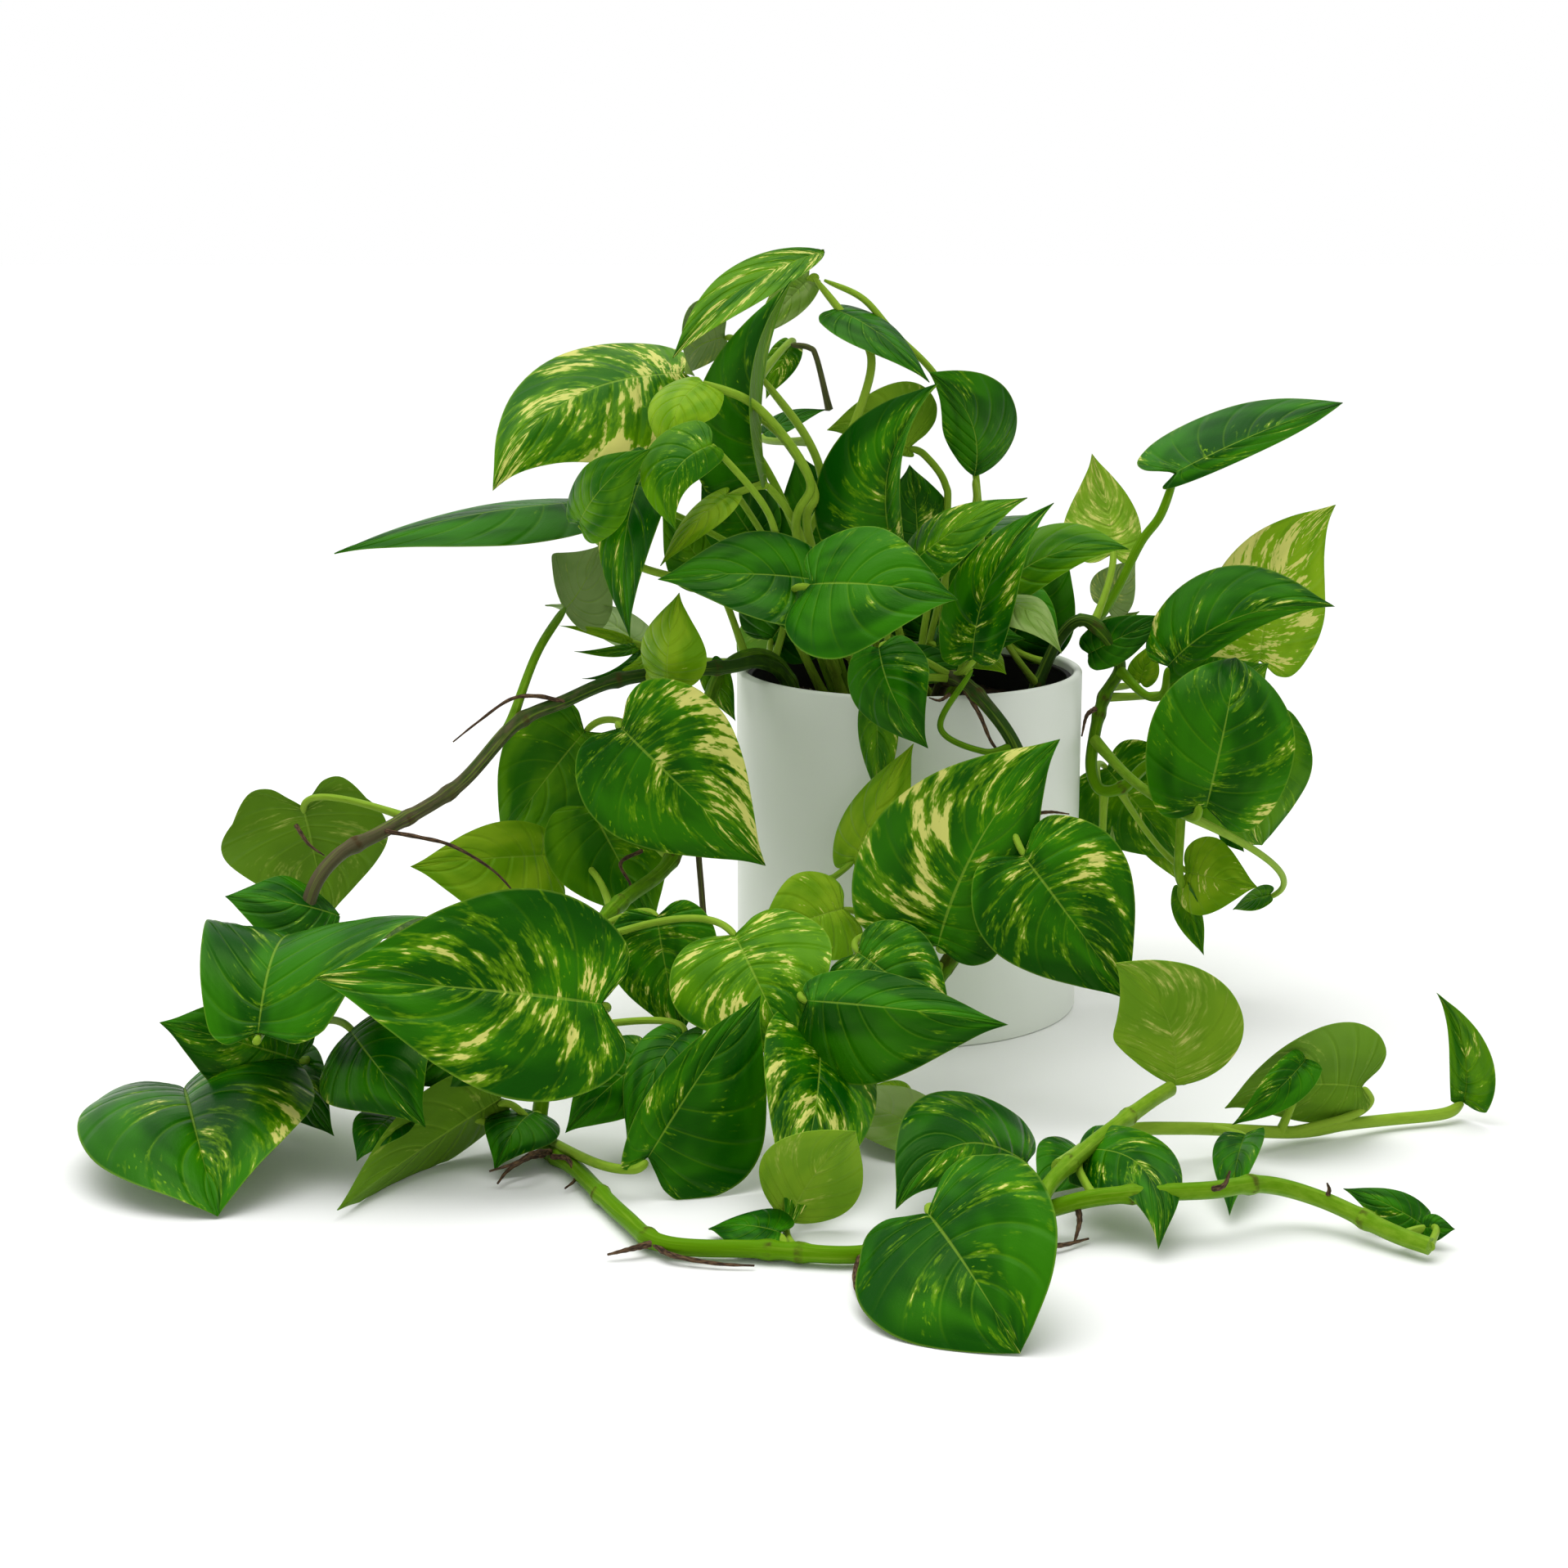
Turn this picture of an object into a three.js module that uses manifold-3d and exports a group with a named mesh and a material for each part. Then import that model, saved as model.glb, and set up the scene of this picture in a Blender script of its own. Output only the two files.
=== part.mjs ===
// A golden pothos in a plain white cylindrical pot, its vines trailing over the rim and along the floor.
// Millimetres, +Z up, the pot's axis is Z and the pot stands on z = 0. The plant's fuller side faces -Y.
import * as THREE from "three";
import { mergeVertices } from "three/addons/utils/BufferGeometryUtils.js";
import Module from "manifold-3d";

const POT_RADIUS = 70; // outer wall
const POT_HEIGHT = 140;
const POT_WALL = 3.6;
const POT_FLOOR = 5; // thickness of the base
const RIM_ROUND = 1.6; // radius of the soft lip
const FOOT_CHAMFER = 1.2;
const POT_SIDES = 40;
const SOIL_TOP = 122; // level at the wall
const SOIL_DOME = 3; // rise at the middle
const GAP = 0.35; // space kept between neighbouring parts
const BLADE = 1.0; // thickness of a leaf plate
const ROWS = 7; // cells along the midrib
const COLUMNS = 2; // cells across each half
const VINE_SIDES = 6;
const PETIOLE_SIDES = 5;
const WIDEST = 0.45; // half width over which a leaf's edge curl is counted, in leaf lengths

// Half outline of a heart-shaped leaf: distance along the midrib and half width, in leaf lengths.
const HALF_OUTLINE = [
  [0, 0], [-0.04, 0.07], [-0.085, 0.16], [-0.08, 0.28], [0.02, 0.4], [0.18, 0.475],
  [0.37, 0.465], [0.57, 0.36], [0.76, 0.2], [0.9, 0.07], [1, 0],
];

// The same for leaves that narrow to their stalk, that are broad to their tip and that have it tucked behind.
const OVATE_OUTLINE = [
  [0, 0], [0.02, 0.09], [0.06, 0.19], [0.13, 0.3], [0.24, 0.4], [0.38, 0.45], [0.53, 0.43], [0.68, 0.33],
  [0.83, 0.18], [0.94, 0.06], [1, 0],
];
const BROAD_OUTLINE = [
  [0, 0], [-0.04, 0.09], [-0.085, 0.2], [-0.07, 0.33], [0.04, 0.45], [0.2, 0.52], [0.4, 0.53], [0.6, 0.47],
  [0.78, 0.33], [0.92, 0.14], [1, 0],
];
const TUCKED_OUTLINE = [
  [0, 0], [-0.04, 0.08], [-0.07, 0.17], [0.0, 0.27], [0.2, 0.36], [0.46, 0.43], [0.66, 0.49], [0.84, 0.54],
  [0.95, 0.5], [0.99, 0.26], [1, 0],
];
const OUTLINES = {
  crown_top: OVATE_OUTLINE, crown_right_var: OVATE_OUTLINE, front_light: OVATE_OUTLINE,
  right_under_up: OVATE_OUTLINE, left_behind_top: OVATE_OUTLINE, left_pale: OVATE_OUTLINE,
  left_floor_heart: BROAD_OUTLINE, front_lobed: BROAD_OUTLINE, right_round: BROAD_OUTLINE,
  right_behind: BROAD_OUTLINE, right_top_long: BROAD_OUTLINE, left_gloss: TUCKED_OUTLINE,
};

// Vines: radius and the points their centre lines run through.
const VINES = {
  crown_stems: {
    radius: 6,
    points: [[-30, -14, 114], [-24, -10, 124], [-10, -4, 126], [10, -6, 124], [20, -8, 114]],
  },
  vine_left_high: {
    radius: 2.6,
    points: [
      [-44, -20, 112], [-50, -24, 138], [-60, -32, 147], [-72, -42, 147], [-91, -52, 147], [-116, -62, 145],
      [-134, -72, 139], [-152, -82, 132], [-172, -98, 112], [-197, -115, 99],
      [-213, -127, 92], [-222, -136, 78], [-225, -139, 50], [-226, -138, 20], [-226, -132, 4],
    ],
  },
  vine_left_low: {
    radius: 2.8,
    points: [
      [-40, 2, 112], [-52, -4, 140], [-66, -12, 146], [-78, -30, 138], [-84, -58, 113], [-88, -75, 91],
      [-96, -90, 78], [-112, -112, 70], [-123, -140, 61], [-131, -168, 37], [-136, -182, 6], [-120, -214, 4],
      [-102, -255, 4], [-88, -277, 4], [-58, -281, 4], [-28, -285, 4], [-1, -271, 4], [22, -262, 6],
      [46, -264, 14], [67, -264, 16], [85, -264, 17], [104, -254, 15], [123, -255, 10], [141, -272, 6],
      [151, -281, 5],
    ],
  },
  vine_front: {
    radius: 2.6,
    points: [
      [6, -32, 112], [10, -48, 140], [16, -66, 146], [26, -78, 138], [36, -82, 124], [43, -84, 104],
      [40, -92, 85], [26, -108, 68], [11, -126, 54], [-6, -138, 29], [-22, -148, 6], [0, -181, 5],
      [15, -220, 5], [24, -280, 6], [33, -262, 17], [49, -238, 22], [72, -205, 25], [82, -192, 26],
    ],
  },
  vine_right: {
    radius: 2.4,
    points: [
      [42, -12, 112], [52, -6, 134], [60, -4, 151], [68, -8, 160], [77, -8, 155], [85, -5, 141],
      [79, -5, 128], [75, -8, 112], [74, -10, 99], [78, -12, 91], [87, -14, 93], [96, -12, 101], [109, -10, 104],
    ],
  },
  vine_back: {
    radius: 2.6,
    points: [
      [-10, 34, 112], [-8, 50, 138], [-6, 66, 147], [-4, 79, 138], [-2, 88, 100], [-4, 92, 60], [-10, 98, 20],
      [-16, 112, 5], [-30, 122, 4], [-46, 126, 4],
    ],
  },
};

// Petioles and side shoots drawn out point by point: the vine they join, radius, centre line.
const SHOOTS = [
  ["crown_stems", 1.7, [[-24, -10, 122], [-44, -38, 183], [-34, -34, 214], [-17, -20, 260], [-25, -12, 277],
    [-39, -5, 295]]],
  ["crown_stems", 1.6, [[12, -6, 122], [24, -14, 150], [27, -19, 184], [26, -17, 207], [22, -12, 232],
    [9, -8, 257], [-8, -7, 274], [-20, -6, 287], [-35, -5, 294]]],
  ["crown_stems", 1.6, [[-26, -11, 122], [-42, -44, 190], [-49, -50, 208], [-58, -55, 220]]],
  ["crown_stems", 1.6, [[-22, -8, 122], [-46, -40, 199], [-66, -35, 236], [-90, -25, 259]]],
  ["crown_stems", 1.7, [[-16, -6, 124], [-41, -42, 197], [-39, -45, 215], [-50, -38, 234], [-61, -30, 243]]],
  ["crown_stems", 1.7, [[-12, -5, 124], [-36, -30, 201], [-36, -28, 219], [-43, -26, 236], [-60, -22, 258]]],
  ["crown_stems", 1.5, [[-27, -12, 122], [-50, -24, 175], [-86, -20, 200], [-112, -18, 209], [-129, -20, 209]]],
  ["crown_stems", 1.5, [[12, -6, 122], [14, -10, 199], [13, -10, 215], [5, -9, 226], [-1, -8, 229]]],
  ["crown_stems", 1.5, [[2, -5, 124], [14, -14, 180], [24, -19, 206], [24, -20, 218]]],
  ["vine_left_high", 1.8, [[-154, -83, 131], [-146, -56, 154], [-137, -30, 168]]],
  ["vine_left_low", 1.7, [[-135, -184, 5], [-113, -222, 10], [-101, -230, 11], [-96, -228, 13]]],
  ["vine_front", 2.3, [[38, -250, 19], [60, -212, 17], [87, -196, 13], [128, -178, 5], [148, -170, 5],
    [166, -162, 4], [186, -156, 4], [194, -151, 6]]],
  ["vine_front", 1.6, [[128, -178, 5], [149, -170, 8], [157, -166, 12], [154, -168, 18]]],
  ["vine_left_low", 1.5, [[48, -264, 14], [45, -248, 17], [46, -237, 17]]],
  ["vine_right", 2.0, [[68, -8, 160], [76, -2, 160], [84, 5, 170], [94, 10, 189], [102, 12, 200], [108, 15, 216]]],
  ["vine_right", 1.8, [[85, -6, 139], [94, -16, 131], [100, -24, 133], [101, -28, 144]]],
  ["vine_right", 2.0, [[75, -9, 111], [87, -30, 100], [100, -50, 93], [108, -60, 91], [110, -62, 96]]],
];

// Leaves: name, petiole base, tip, half widths (left, right) as shares of the outline, way the upper side faces,
// midrib bow (up, sideways, along), rise of each half, edge curl of each half, twist, depth of the basal lobes,
// tone, and the vine and the share of its length the petiole grows from (left out where a shoot is drawn).
const LEAVES = [
  ["crown_top", [-35, -5, 305], [-93, -45, 266], [0.3, 0.3], [-0.4, -0.4, 0.8],
    [0.09, 0, 0.02], [-20, 30], [-20, 0], 0, 0.3, "mid"],
  ["crown_tall", [-58, -55, 220], [-48, -40, 295], [0.8, 0.4], [-0.25, -1, 0.15],
    [0.04, 0.07, 0], [-5, 100], [-25, -20], 20, 0.3, "deep"],
  ["crown_big_left", [-90, -25, 259], [-159, -75, 219], [0.8, 0.62], [-0.3, -0.85, 0.6],
    [0.1, -0.11, 0.03], [-15, -5], [-25, -15], 0, 0.9, "mid"],
  ["crown_left_dark", [-101, -62, 230], [-108, -88, 166], [0.46, 0.42], [-0.5, -1, 0.15],
    [0.1, -0.04, 0], [10, 0], [-15, -15], 0, 0.7, "deep", "crown_stems", 0.3],
  ["left_long", [-129, -20, 209], [-221, -62, 194], [0.5, 0.5], [-0.05, -0.25, 1],
    [0.04, 0, 0], [-12, -12], [-8, -8], 0, 0.5, "deep"],
  ["center_wide", [-39, -78, 186], [-97, -98, 189], [0.8, 0.66], [0, -0.75, 0.66],
    [0.06, 0, 0], [6, 6], [-8, -8], 0, 1, "deep", "crown_stems", 0.5],
  ["center_heart", [-41, -100, 187], [11, -124, 185], [0.92, 1.1], [0.1, -0.85, 0.55],
    [0.08, 0, 0], [4, 4], [-12, -12], 0, 1.2, "deep", "crown_stems", 0.6],
  ["center_upright", [-10, -62, 196], [7, -52, 257], [1, 0.5], [-0.35, -1, 0.15],
    [0.05, 0.14, 0], [-4, 60], [-15, -20], 0, 0.5, "deep", "crown_stems", 0.7],
  ["crown_right_narrow", [-31, -10, 283], [5, -32, 256], [0.5, 0.5], [0.5, -0.7, 0.5],
    [0.08, 0, 0], [-10, -10], [-10, -10], 0, 0.6, "deep"],
  ["crown_right_var", [24, -20, 219], [5, -32, 260], [0.55, 1], [0.2, -1, 0.3],
    [0.1, -0.13, 0], [-20, 0], [-20, -20], 0, 0.1, "deep"],
  ["right_stripe_a", [-4, -72, 190], [39, -84, 217], [0.58, 0.58], [-0.25, -0.6, 0.7],
    [0.08, 0, 0], [-5, -5], [-10, -10], 0, 0.6, "mid", "crown_stems", 0.8],
  ["right_stripe_b", [20, -78, 156], [51, -62, 213], [0.5, 0.45], [-0.45, -0.9, 0.3],
    [0.06, 0.1, 0], [-5, 15], [-10, -10], 0, 0.4, "deep", "vine_front", 0.08],
  ["right_brown_spot", [32, -40, 176], [80, -60, 195], [0.8, 0.45], [0, -0.7, 0.7],
    [0.08, 0.1, 0], [-8, -8], [-12, -12], 0, 1, "mid", "vine_right", 0.08],
  ["right_pale_back", [83, 12, 184], [76, 32, 223], [0.6, 0.9], [-0.1, 0.9, 0.2],
    [0.06, 0.05, 0], [5, 5], [0, 0], 0, 1, "light", "vine_right", 0.3],
  ["right_top_long", [108, 15, 217], [183, 55, 242], [0.6, 0.16], [-0.1, -0.75, 0.6],
    [0.04, 0, 0], [-20, -15], [-15, -10], 0, 1.1, "deep"],
  ["right_upper", [101, -28, 144], [159, -62, 173], [0.85, 0.24], [-0.25, -0.85, 0.5],
    [0.07, 0.1, 0], [-10, -30], [-16, -12], 0, 1, "deep"],
  ["right_back_light", [147, 28, 137], [180, 48, 200], [0.72, 0.72], [0.2, -0.95, 0.4],
    [0.06, 0.12, 0], [-5, -5], [-5, -5], 0, 1, "light", "vine_right", 0.5],
  ["right_round", [112, -62, 95], [126, -34, 149], [0.88, 0.95], [-0.05, -1, 0.3],
    [0.16, 0, 0.04], [4, 4], [-20, -20], 0, 1.3, "deep"],
  ["right_behind", [138, -22, 124], [144, -20, 70], [0.7, 0.95], [0.15, -1, 0.2],
    [0.1, -0.08, 0], [5, 5], [-15, -15], 0, 1, "mid", "vine_right", 0.97],
  ["rim_front_dark", [-15, -76, 160], [3, -94, 125], [0.8, 0.8], [-0.25, -1, 0.15],
    [0.12, -0.05, 0], [-8, -8], [-15, -15], 0, 1, "deep", "vine_front", 0.1],
  ["left_hang", [-112, -92, 133], [-58, -112, 85], [0.86, 0.86], [-0.2, -1, 0.35],
    [0.08, 0, 0], [6, 6], [-12, -12], 0, 1, "deep", "vine_left_low", 0.22],
  ["back_left_mid", [-130, -25, 118], [-165, -22, 71], [0.85, 0.85], [-0.2, -1, 0.2],
    [0.08, 0, 0], [5, 5], [-10, -10], 0, 1, "mid", "vine_left_low", 0.18],
  ["back_left_tip", [-145, -40, 70], [-196, -62, 71], [1.15, 0.55], [-0.1, -0.85, 0.45],
    [0.05, 0, 0], [5, 5], [-10, -10], 0, 1, "light", "vine_left_low", 0.3],
  ["back_mid", [-126, -55, 94], [-101, -58, 47], [0.98, 0.98], [0, -1, 0.15],
    [0.05, 0, 0], [5, 5], [-10, -10], 0, 1, "mid", "vine_left_low", 0.24],
  ["left_heart", [-230, -98, 104], [-224, -90, 58], [1.45, 1.3], [-0.1, 1, -0.05],
    [0.03, 0, 0], [-5, -5], [0, 0], 0, 2.5, "mid", "vine_left_high", 0.62],
  ["left_floor_heart", [-262, -170, 19], [-235, -246, 1.5], [1, 0.88], [-0.05, -0.45, 1],
    [0.1, 0, 0], [30, 26], [-52, -46], 0, 2, "deep", "vine_left_high", 0.95],
  ["left_gloss", [-226, -215, 53], [-219, -150, 62], [0.92, 1.38], [-0.1, -0.6, 0.8],
    [0.28, 0, 0], [14, 14], [-10, -10], 0, 1, "deep", "vine_left_high", 0.84],
  ["left_low_dark", [-222, -168, 28], [-268, -178, 45], [0.88, 0.88], [-0.2, -0.8, 0.5],
    [0.08, 0, 0], [-8, -8], [-15, -15], 0, 1, "deep", "vine_left_high", 0.93],
  ["left_mid_gloss", [-201, -180, 43], [-170, -222, 23], [0.95, 0.85], [-0.25, -0.7, 0.7],
    [0.15, 0, 0], [2, -6], [-38, -30], 0, 0.6, "deep", "vine_left_high", 0.9],
  ["front_left_under", [-149, -188, 20], [-196, -247, 2], [0.46, 0.42], [0, 1, 0.25],
    [0.08, -0.05, 0], [15, 15], [0, 0], 0, 0.5, "mid", "vine_left_low", 0.43],
  ["front_big", [-112, -205, 60], [-205, -222, 74], [0.8, 0.8], [0, -0.85, 0.6],
    [0.04, 0, 0], [7, 7], [-10, -10], 0, 1, "deep", "vine_left_low", 0.37],
  ["mid_left_dark", [-97, -140, 73], [-88, -150, 30], [0.95, 0.95], [-0.2, -1, 0.3],
    [0.06, 0, 0], [5, 5], [-10, -10], 0, 1, "deep", "vine_left_low", 0.32],
  ["center_left_var", [-68, -165, 73], [-46, -198, 35], [1.12, 1.12], [-0.05, -0.85, 0.55],
    [0.1, 0, 0], [4, 4], [-15, -15], 0, 1, "mid", "vine_left_low", 0.33],
  ["center_var", [-25, -162, 66], [8, -180, 44], [0.95, 0.95], [0.1, -0.85, 0.5],
    [0.06, 0, 0], [5, 5], [-12, -12], 0, 1, "deep", "vine_front", 0.45],
  ["center_point", [-43, -195, 58], [23, -222, 58], [0.42, 0.8], [0, -0.9, 0.45],
    [0.08, 0, 0], [-22, -18], [-8, -8], 0, 0.7, "deep", "vine_front", 0.48],
  ["front_dark", [-96, -228, 13], [-59, -192, 58], [0.35, 1], [0.2, -0.95, 0.3],
    [0.06, 0.03, 0], [8, 4], [-12, -16], 0, 1.2, "deep"],
  ["center_long_var", [-38, -188, 44], [-50, -264, 2], [0.52, 0.52], [0.35, -0.8, 0.4],
    [0.08, 0, 0], [5, 5], [-10, -10], 0, 0.7, "deep", "vine_front", 0.5],
  ["front_light", [-50, -258, 4], [-28, -262, 36], [0.95, 1.1], [-0.1, 1, 0.15],
    [0.14, 0, 0], [5, 5], [-20, -20], 0, 0.1, "light", "vine_left_low", 0.6],
  ["front_right_big", [4, -147, 64], [48, -129, 136], [1.02, 0.6], [-0.3, -0.9, 0.35],
    [0.06, 0.06, 0], [-5, -15], [-10, -10], 0, 0.5, "deep", "vine_front", 0.46],
  ["front_right_heart", [34, -150, 98], [71, -168, 50], [0.95, 0.95], [-0.15, -0.95, 0.4],
    [0.08, 0, 0], [5, 5], [-12, -12], 0, 1.2, "deep", "vine_front", 0.3],
  ["right_under_up", [84, -190, 26], [62, -190, 70], [1.3, 0.9], [0.2, 1, 0.2],
    [0.16, 0.12, 0], [-8, -8], [-15, -25], 0, 0.1, "light"],
  ["right_under_leaf", [153, -170, 19], [103, -182, 15], [1.15, 0.62], [-0.05, 1, 0.25],
    [0.06, 0.05, 0], [-5, -5], [-10, -10], 0, 1, "mid"],
  ["far_right_tip", [195, -150, 6], [185, -142, 45], [0.3, 0.62], [-0.6, -0.8, 0.1],
    [0, -0.12, 0], [25, 15], [0, 0], 0, 0.2, "mid"],
  ["curled_stripe", [46, -236, 18], [66, -284, 3], [0.6, 0.6], [0.15, -0.8, 0.6],
    [0.15, 0.18, 0], [-5, -5], [-25, -25], 30, 0.3, "deep"],
  ["front_lobed", [-7, -302, 25], [17, -350, 1.5], [1.05, 1.05], [-0.05, -0.8, 0.6],
    [0.1, 0, 0], [25, 0], [-15, -15], 0, 1.9, "deep", "vine_left_low", 0.68],
  ["behind_front", [30, -228, 12], [-15, -262, 9], [0.7, 0.95], [-0.1, -0.8, 0.6],
    [0.12, -0.2, 0], [-8, -8], [-15, -15], 0, 1, "deep", "vine_front", 0.68],
  ["back_hang_left", [-34, 68, 152], [-52, 104, 86], [0.86, 0.86], [-0.2, 1, 0.3],
    [0.1, 0, 0], [6, 6], [-12, -12], 0, 1, "deep", "crown_stems", 0.4],
  ["back_hang_right", [32, 68, 152], [40, 104, 80], [0.86, 0.86], [0.2, 1, 0.3],
    [0.1, 0, 0], [6, 6], [-12, -12], 0, 1, "deep", "crown_stems", 0.8],
  ["back_crown_left", [-30, 26, 196], [-72, 78, 196], [0.84, 0.84], [-0.1, 0.3, 1],
    [0.1, 0, 0], [6, 6], [-12, -12], 0, 1, "deep", "crown_stems", 0.35],
  ["back_crown_right", [20, 30, 190], [56, 84, 184], [0.84, 0.84], [0.1, 0.3, 1],
    [0.1, 0, 0], [6, 6], [-12, -12], 0, 1, "deep", "crown_stems", 0.65],
  ["back_crown_mid", [-8, 36, 176], [-14, 98, 158], [0.86, 0.86], [0, 0.4, 1],
    [0.12, 0, 0], [6, 6], [-12, -12], 0, 1, "mid", "crown_stems", 0.5],
  ["back_low_left", [-22, 102, 60], [-50, 112, 10], [0.9, 0.9], [-0.3, 1, 0.3],
    [0.08, 0, 0], [6, 6], [-10, -10], 0, 1, "deep", "vine_back", 0.6],
];

const LEAF_COLOURS = { deep: 0x1f6b1a, mid: 0x4c8f24, light: 0x8fb54a };

const wasm = await Module();
wasm.setup();

function material(colour, roughness) {
  return new THREE.MeshStandardMaterial({ color: colour, roughness });
}

// A closed three.js geometry as a solid that can be joined and cut.
function solidOf(geometry) {
  geometry.deleteAttribute("normal");
  geometry.deleteAttribute("uv");
  const merged = mergeVertices(geometry, 1e-4);
  const mesh = new wasm.Mesh({
    numProp: 3,
    vertProperties: merged.attributes.position.array,
    triVerts: new Uint32Array(merged.index.array),
  });
  return new wasm.Manifold(mesh);
}

// A solid's surface as a three.js geometry.
function geometryOf(solid) {
  const mesh = solid.getMesh();
  const geometry = new THREE.BufferGeometry();
  geometry.setAttribute("position", new THREE.BufferAttribute(mesh.vertProperties, 3));
  geometry.setIndex(new THREE.BufferAttribute(mesh.triVerts, 1));
  geometry.computeVertexNormals();
  return geometry;
}

function vec(p) {
  return new THREE.Vector3(p[0], p[1], p[2]);
}

function curveThrough(points) {
  return new THREE.CatmullRomCurve3(points.map(vec), false, "catmullrom", 0.5);
}

// A round stem along a curve, closed at both ends.
function tubeSolid(curve, radius, sides, steps) {
  const ring = new THREE.Shape();
  for (let i = 0; i < sides; i++) {
    const a = (2 * Math.PI * i) / sides;
    const [x, y] = [radius * Math.cos(a), radius * Math.sin(a)];
    if (i === 0) ring.moveTo(x, y);
    else ring.lineTo(x, y);
  }
  ring.closePath();
  const tube = new THREE.ExtrudeGeometry(ring, { steps, extrudePath: curve, bevelEnabled: false });
  const solid = solidOf(tube);
  return solid.volume() > 0 ? solid : solidOf(tube.scale(-1, 1, 1)).mirror([1, 0, 0]);
}

function largest(solid) {
  const bodies = solid.decompose();
  return bodies.reduce((best, body) => (body.volume() > best.volume() ? body : best));
}

function potSolid() {
  const inner = POT_RADIUS - POT_WALL;
  const profile = [[0, 0], [POT_RADIUS - FOOT_CHAMFER, 0], [POT_RADIUS, FOOT_CHAMFER]];
  for (let i = 0; i <= 4; i++) {
    const a = (Math.PI * i) / 4;
    const middle = POT_RADIUS - POT_WALL / 2;
    profile.push([middle + (POT_WALL / 2) * Math.cos(a), POT_HEIGHT - RIM_ROUND + RIM_ROUND * Math.sin(a)]);
  }
  profile.push([inner, POT_FLOOR], [0, POT_FLOOR]);
  const points = profile.map(([r, z]) => new THREE.Vector2(r, z));
  return solidOf(new THREE.LatheGeometry(points, POT_SIDES).rotateX(Math.PI / 2));
}

function soilSolid(reserved) {
  const radius = POT_RADIUS - POT_WALL - GAP - 0.2;
  const bottom = POT_FLOOR + GAP;
  const profile = [[0, bottom], [radius, bottom], [radius, SOIL_TOP], [radius * 0.6, SOIL_TOP + SOIL_DOME],
    [0, SOIL_TOP + SOIL_DOME]];
  const points = profile.map(([r, z]) => new THREE.Vector2(r, z));
  const plug = solidOf(new THREE.LatheGeometry(points, POT_SIDES).rotateX(Math.PI / 2));
  return largest(reserved.reduce((rest, stem) => rest.subtract(stem), plug));
}

// Petiole that leaves a vine and arrives at a leaf's base in line with its midrib.
function petioleCurve(leaf) {
  const [, base, tip] = leaf;
  const [vine, share] = leaf.slice(11);
  const start = curveThrough(VINES[vine].points).getPoint(share);
  const along = vec(tip).sub(vec(base)).normalize();
  const end = vec(base).addScaledVector(along, -2.5 * GAP);
  const reach = start.distanceTo(end);
  const knee = end.clone().addScaledVector(along, -0.3 * reach).add(new THREE.Vector3(0, 0, 0.12 * reach));
  return new THREE.QuadraticBezierCurve3(start, knee, end);
}

// One vine with every petiole that grows from it, its stems thickened by extra.
function vineSolid(name, extra) {
  const { radius, points } = VINES[name];
  let solid = tubeSolid(curveThrough(points), radius + extra, VINE_SIDES, points.length * 2 - 2);
  for (const [vine, thickness, route] of SHOOTS) {
    if (vine !== name) continue;
    const shoot = tubeSolid(curveThrough(route), thickness + extra, PETIOLE_SIDES, route.length * 2 - 2);
    solid = solid.add(shoot);
  }
  for (const leaf of LEAVES) {
    if (leaf[11] !== name) continue;
    solid = solid.add(tubeSolid(petioleCurve(leaf), 1.4 + extra, PETIOLE_SIDES, 6));
  }
  return solid;
}

// Points of a leaf's middle surface: rows along the midrib, columns from the right edge to the left.
function bladePoints(leaf) {
  const [, baseXYZ, tipXYZ, widths, faceXYZ, bow, rise, curl, twist, lobe] = leaf;
  const base = vec(baseXYZ);
  const tip = vec(tipXYZ);
  const along = tip.clone().sub(base);
  const length = along.length();
  along.normalize();
  const face = vec(faceXYZ);
  face.addScaledVector(along, -face.dot(along)).normalize();
  const side = face.clone().cross(along);
  const knee = base.clone().add(tip).multiplyScalar(0.5);
  knee.addScaledVector(face, 2 * bow[0] * length).addScaledVector(side, 2 * bow[1] * length);
  knee.addScaledVector(along, 2 * bow[2] * length);
  const midrib = new THREE.QuadraticBezierCurve3(base, knee, tip);
  const outline = new THREE.SplineCurve((OUTLINES[leaf[0]] ?? HALF_OUTLINE).map(([s, t]) => new THREE.Vector2(s, t)));
  const rows = [];
  for (let i = 0; i <= ROWS; i++) {
    const u = i / ROWS;
    const edge = outline.getPoint(u);
    if (edge.x < 0) edge.x *= lobe;
    const row = [];
    for (let j = -COLUMNS; j <= COLUMNS; j++) {
      const across = Math.abs(j) / COLUMNS;
      const half = j > 0 ? 0 : 1;
      row.push(bladePoint(midrib, face, length, u, edge, across, half, widths, rise, curl, twist));
    }
    rows.push(row);
  }
  return rows;
}

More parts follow.
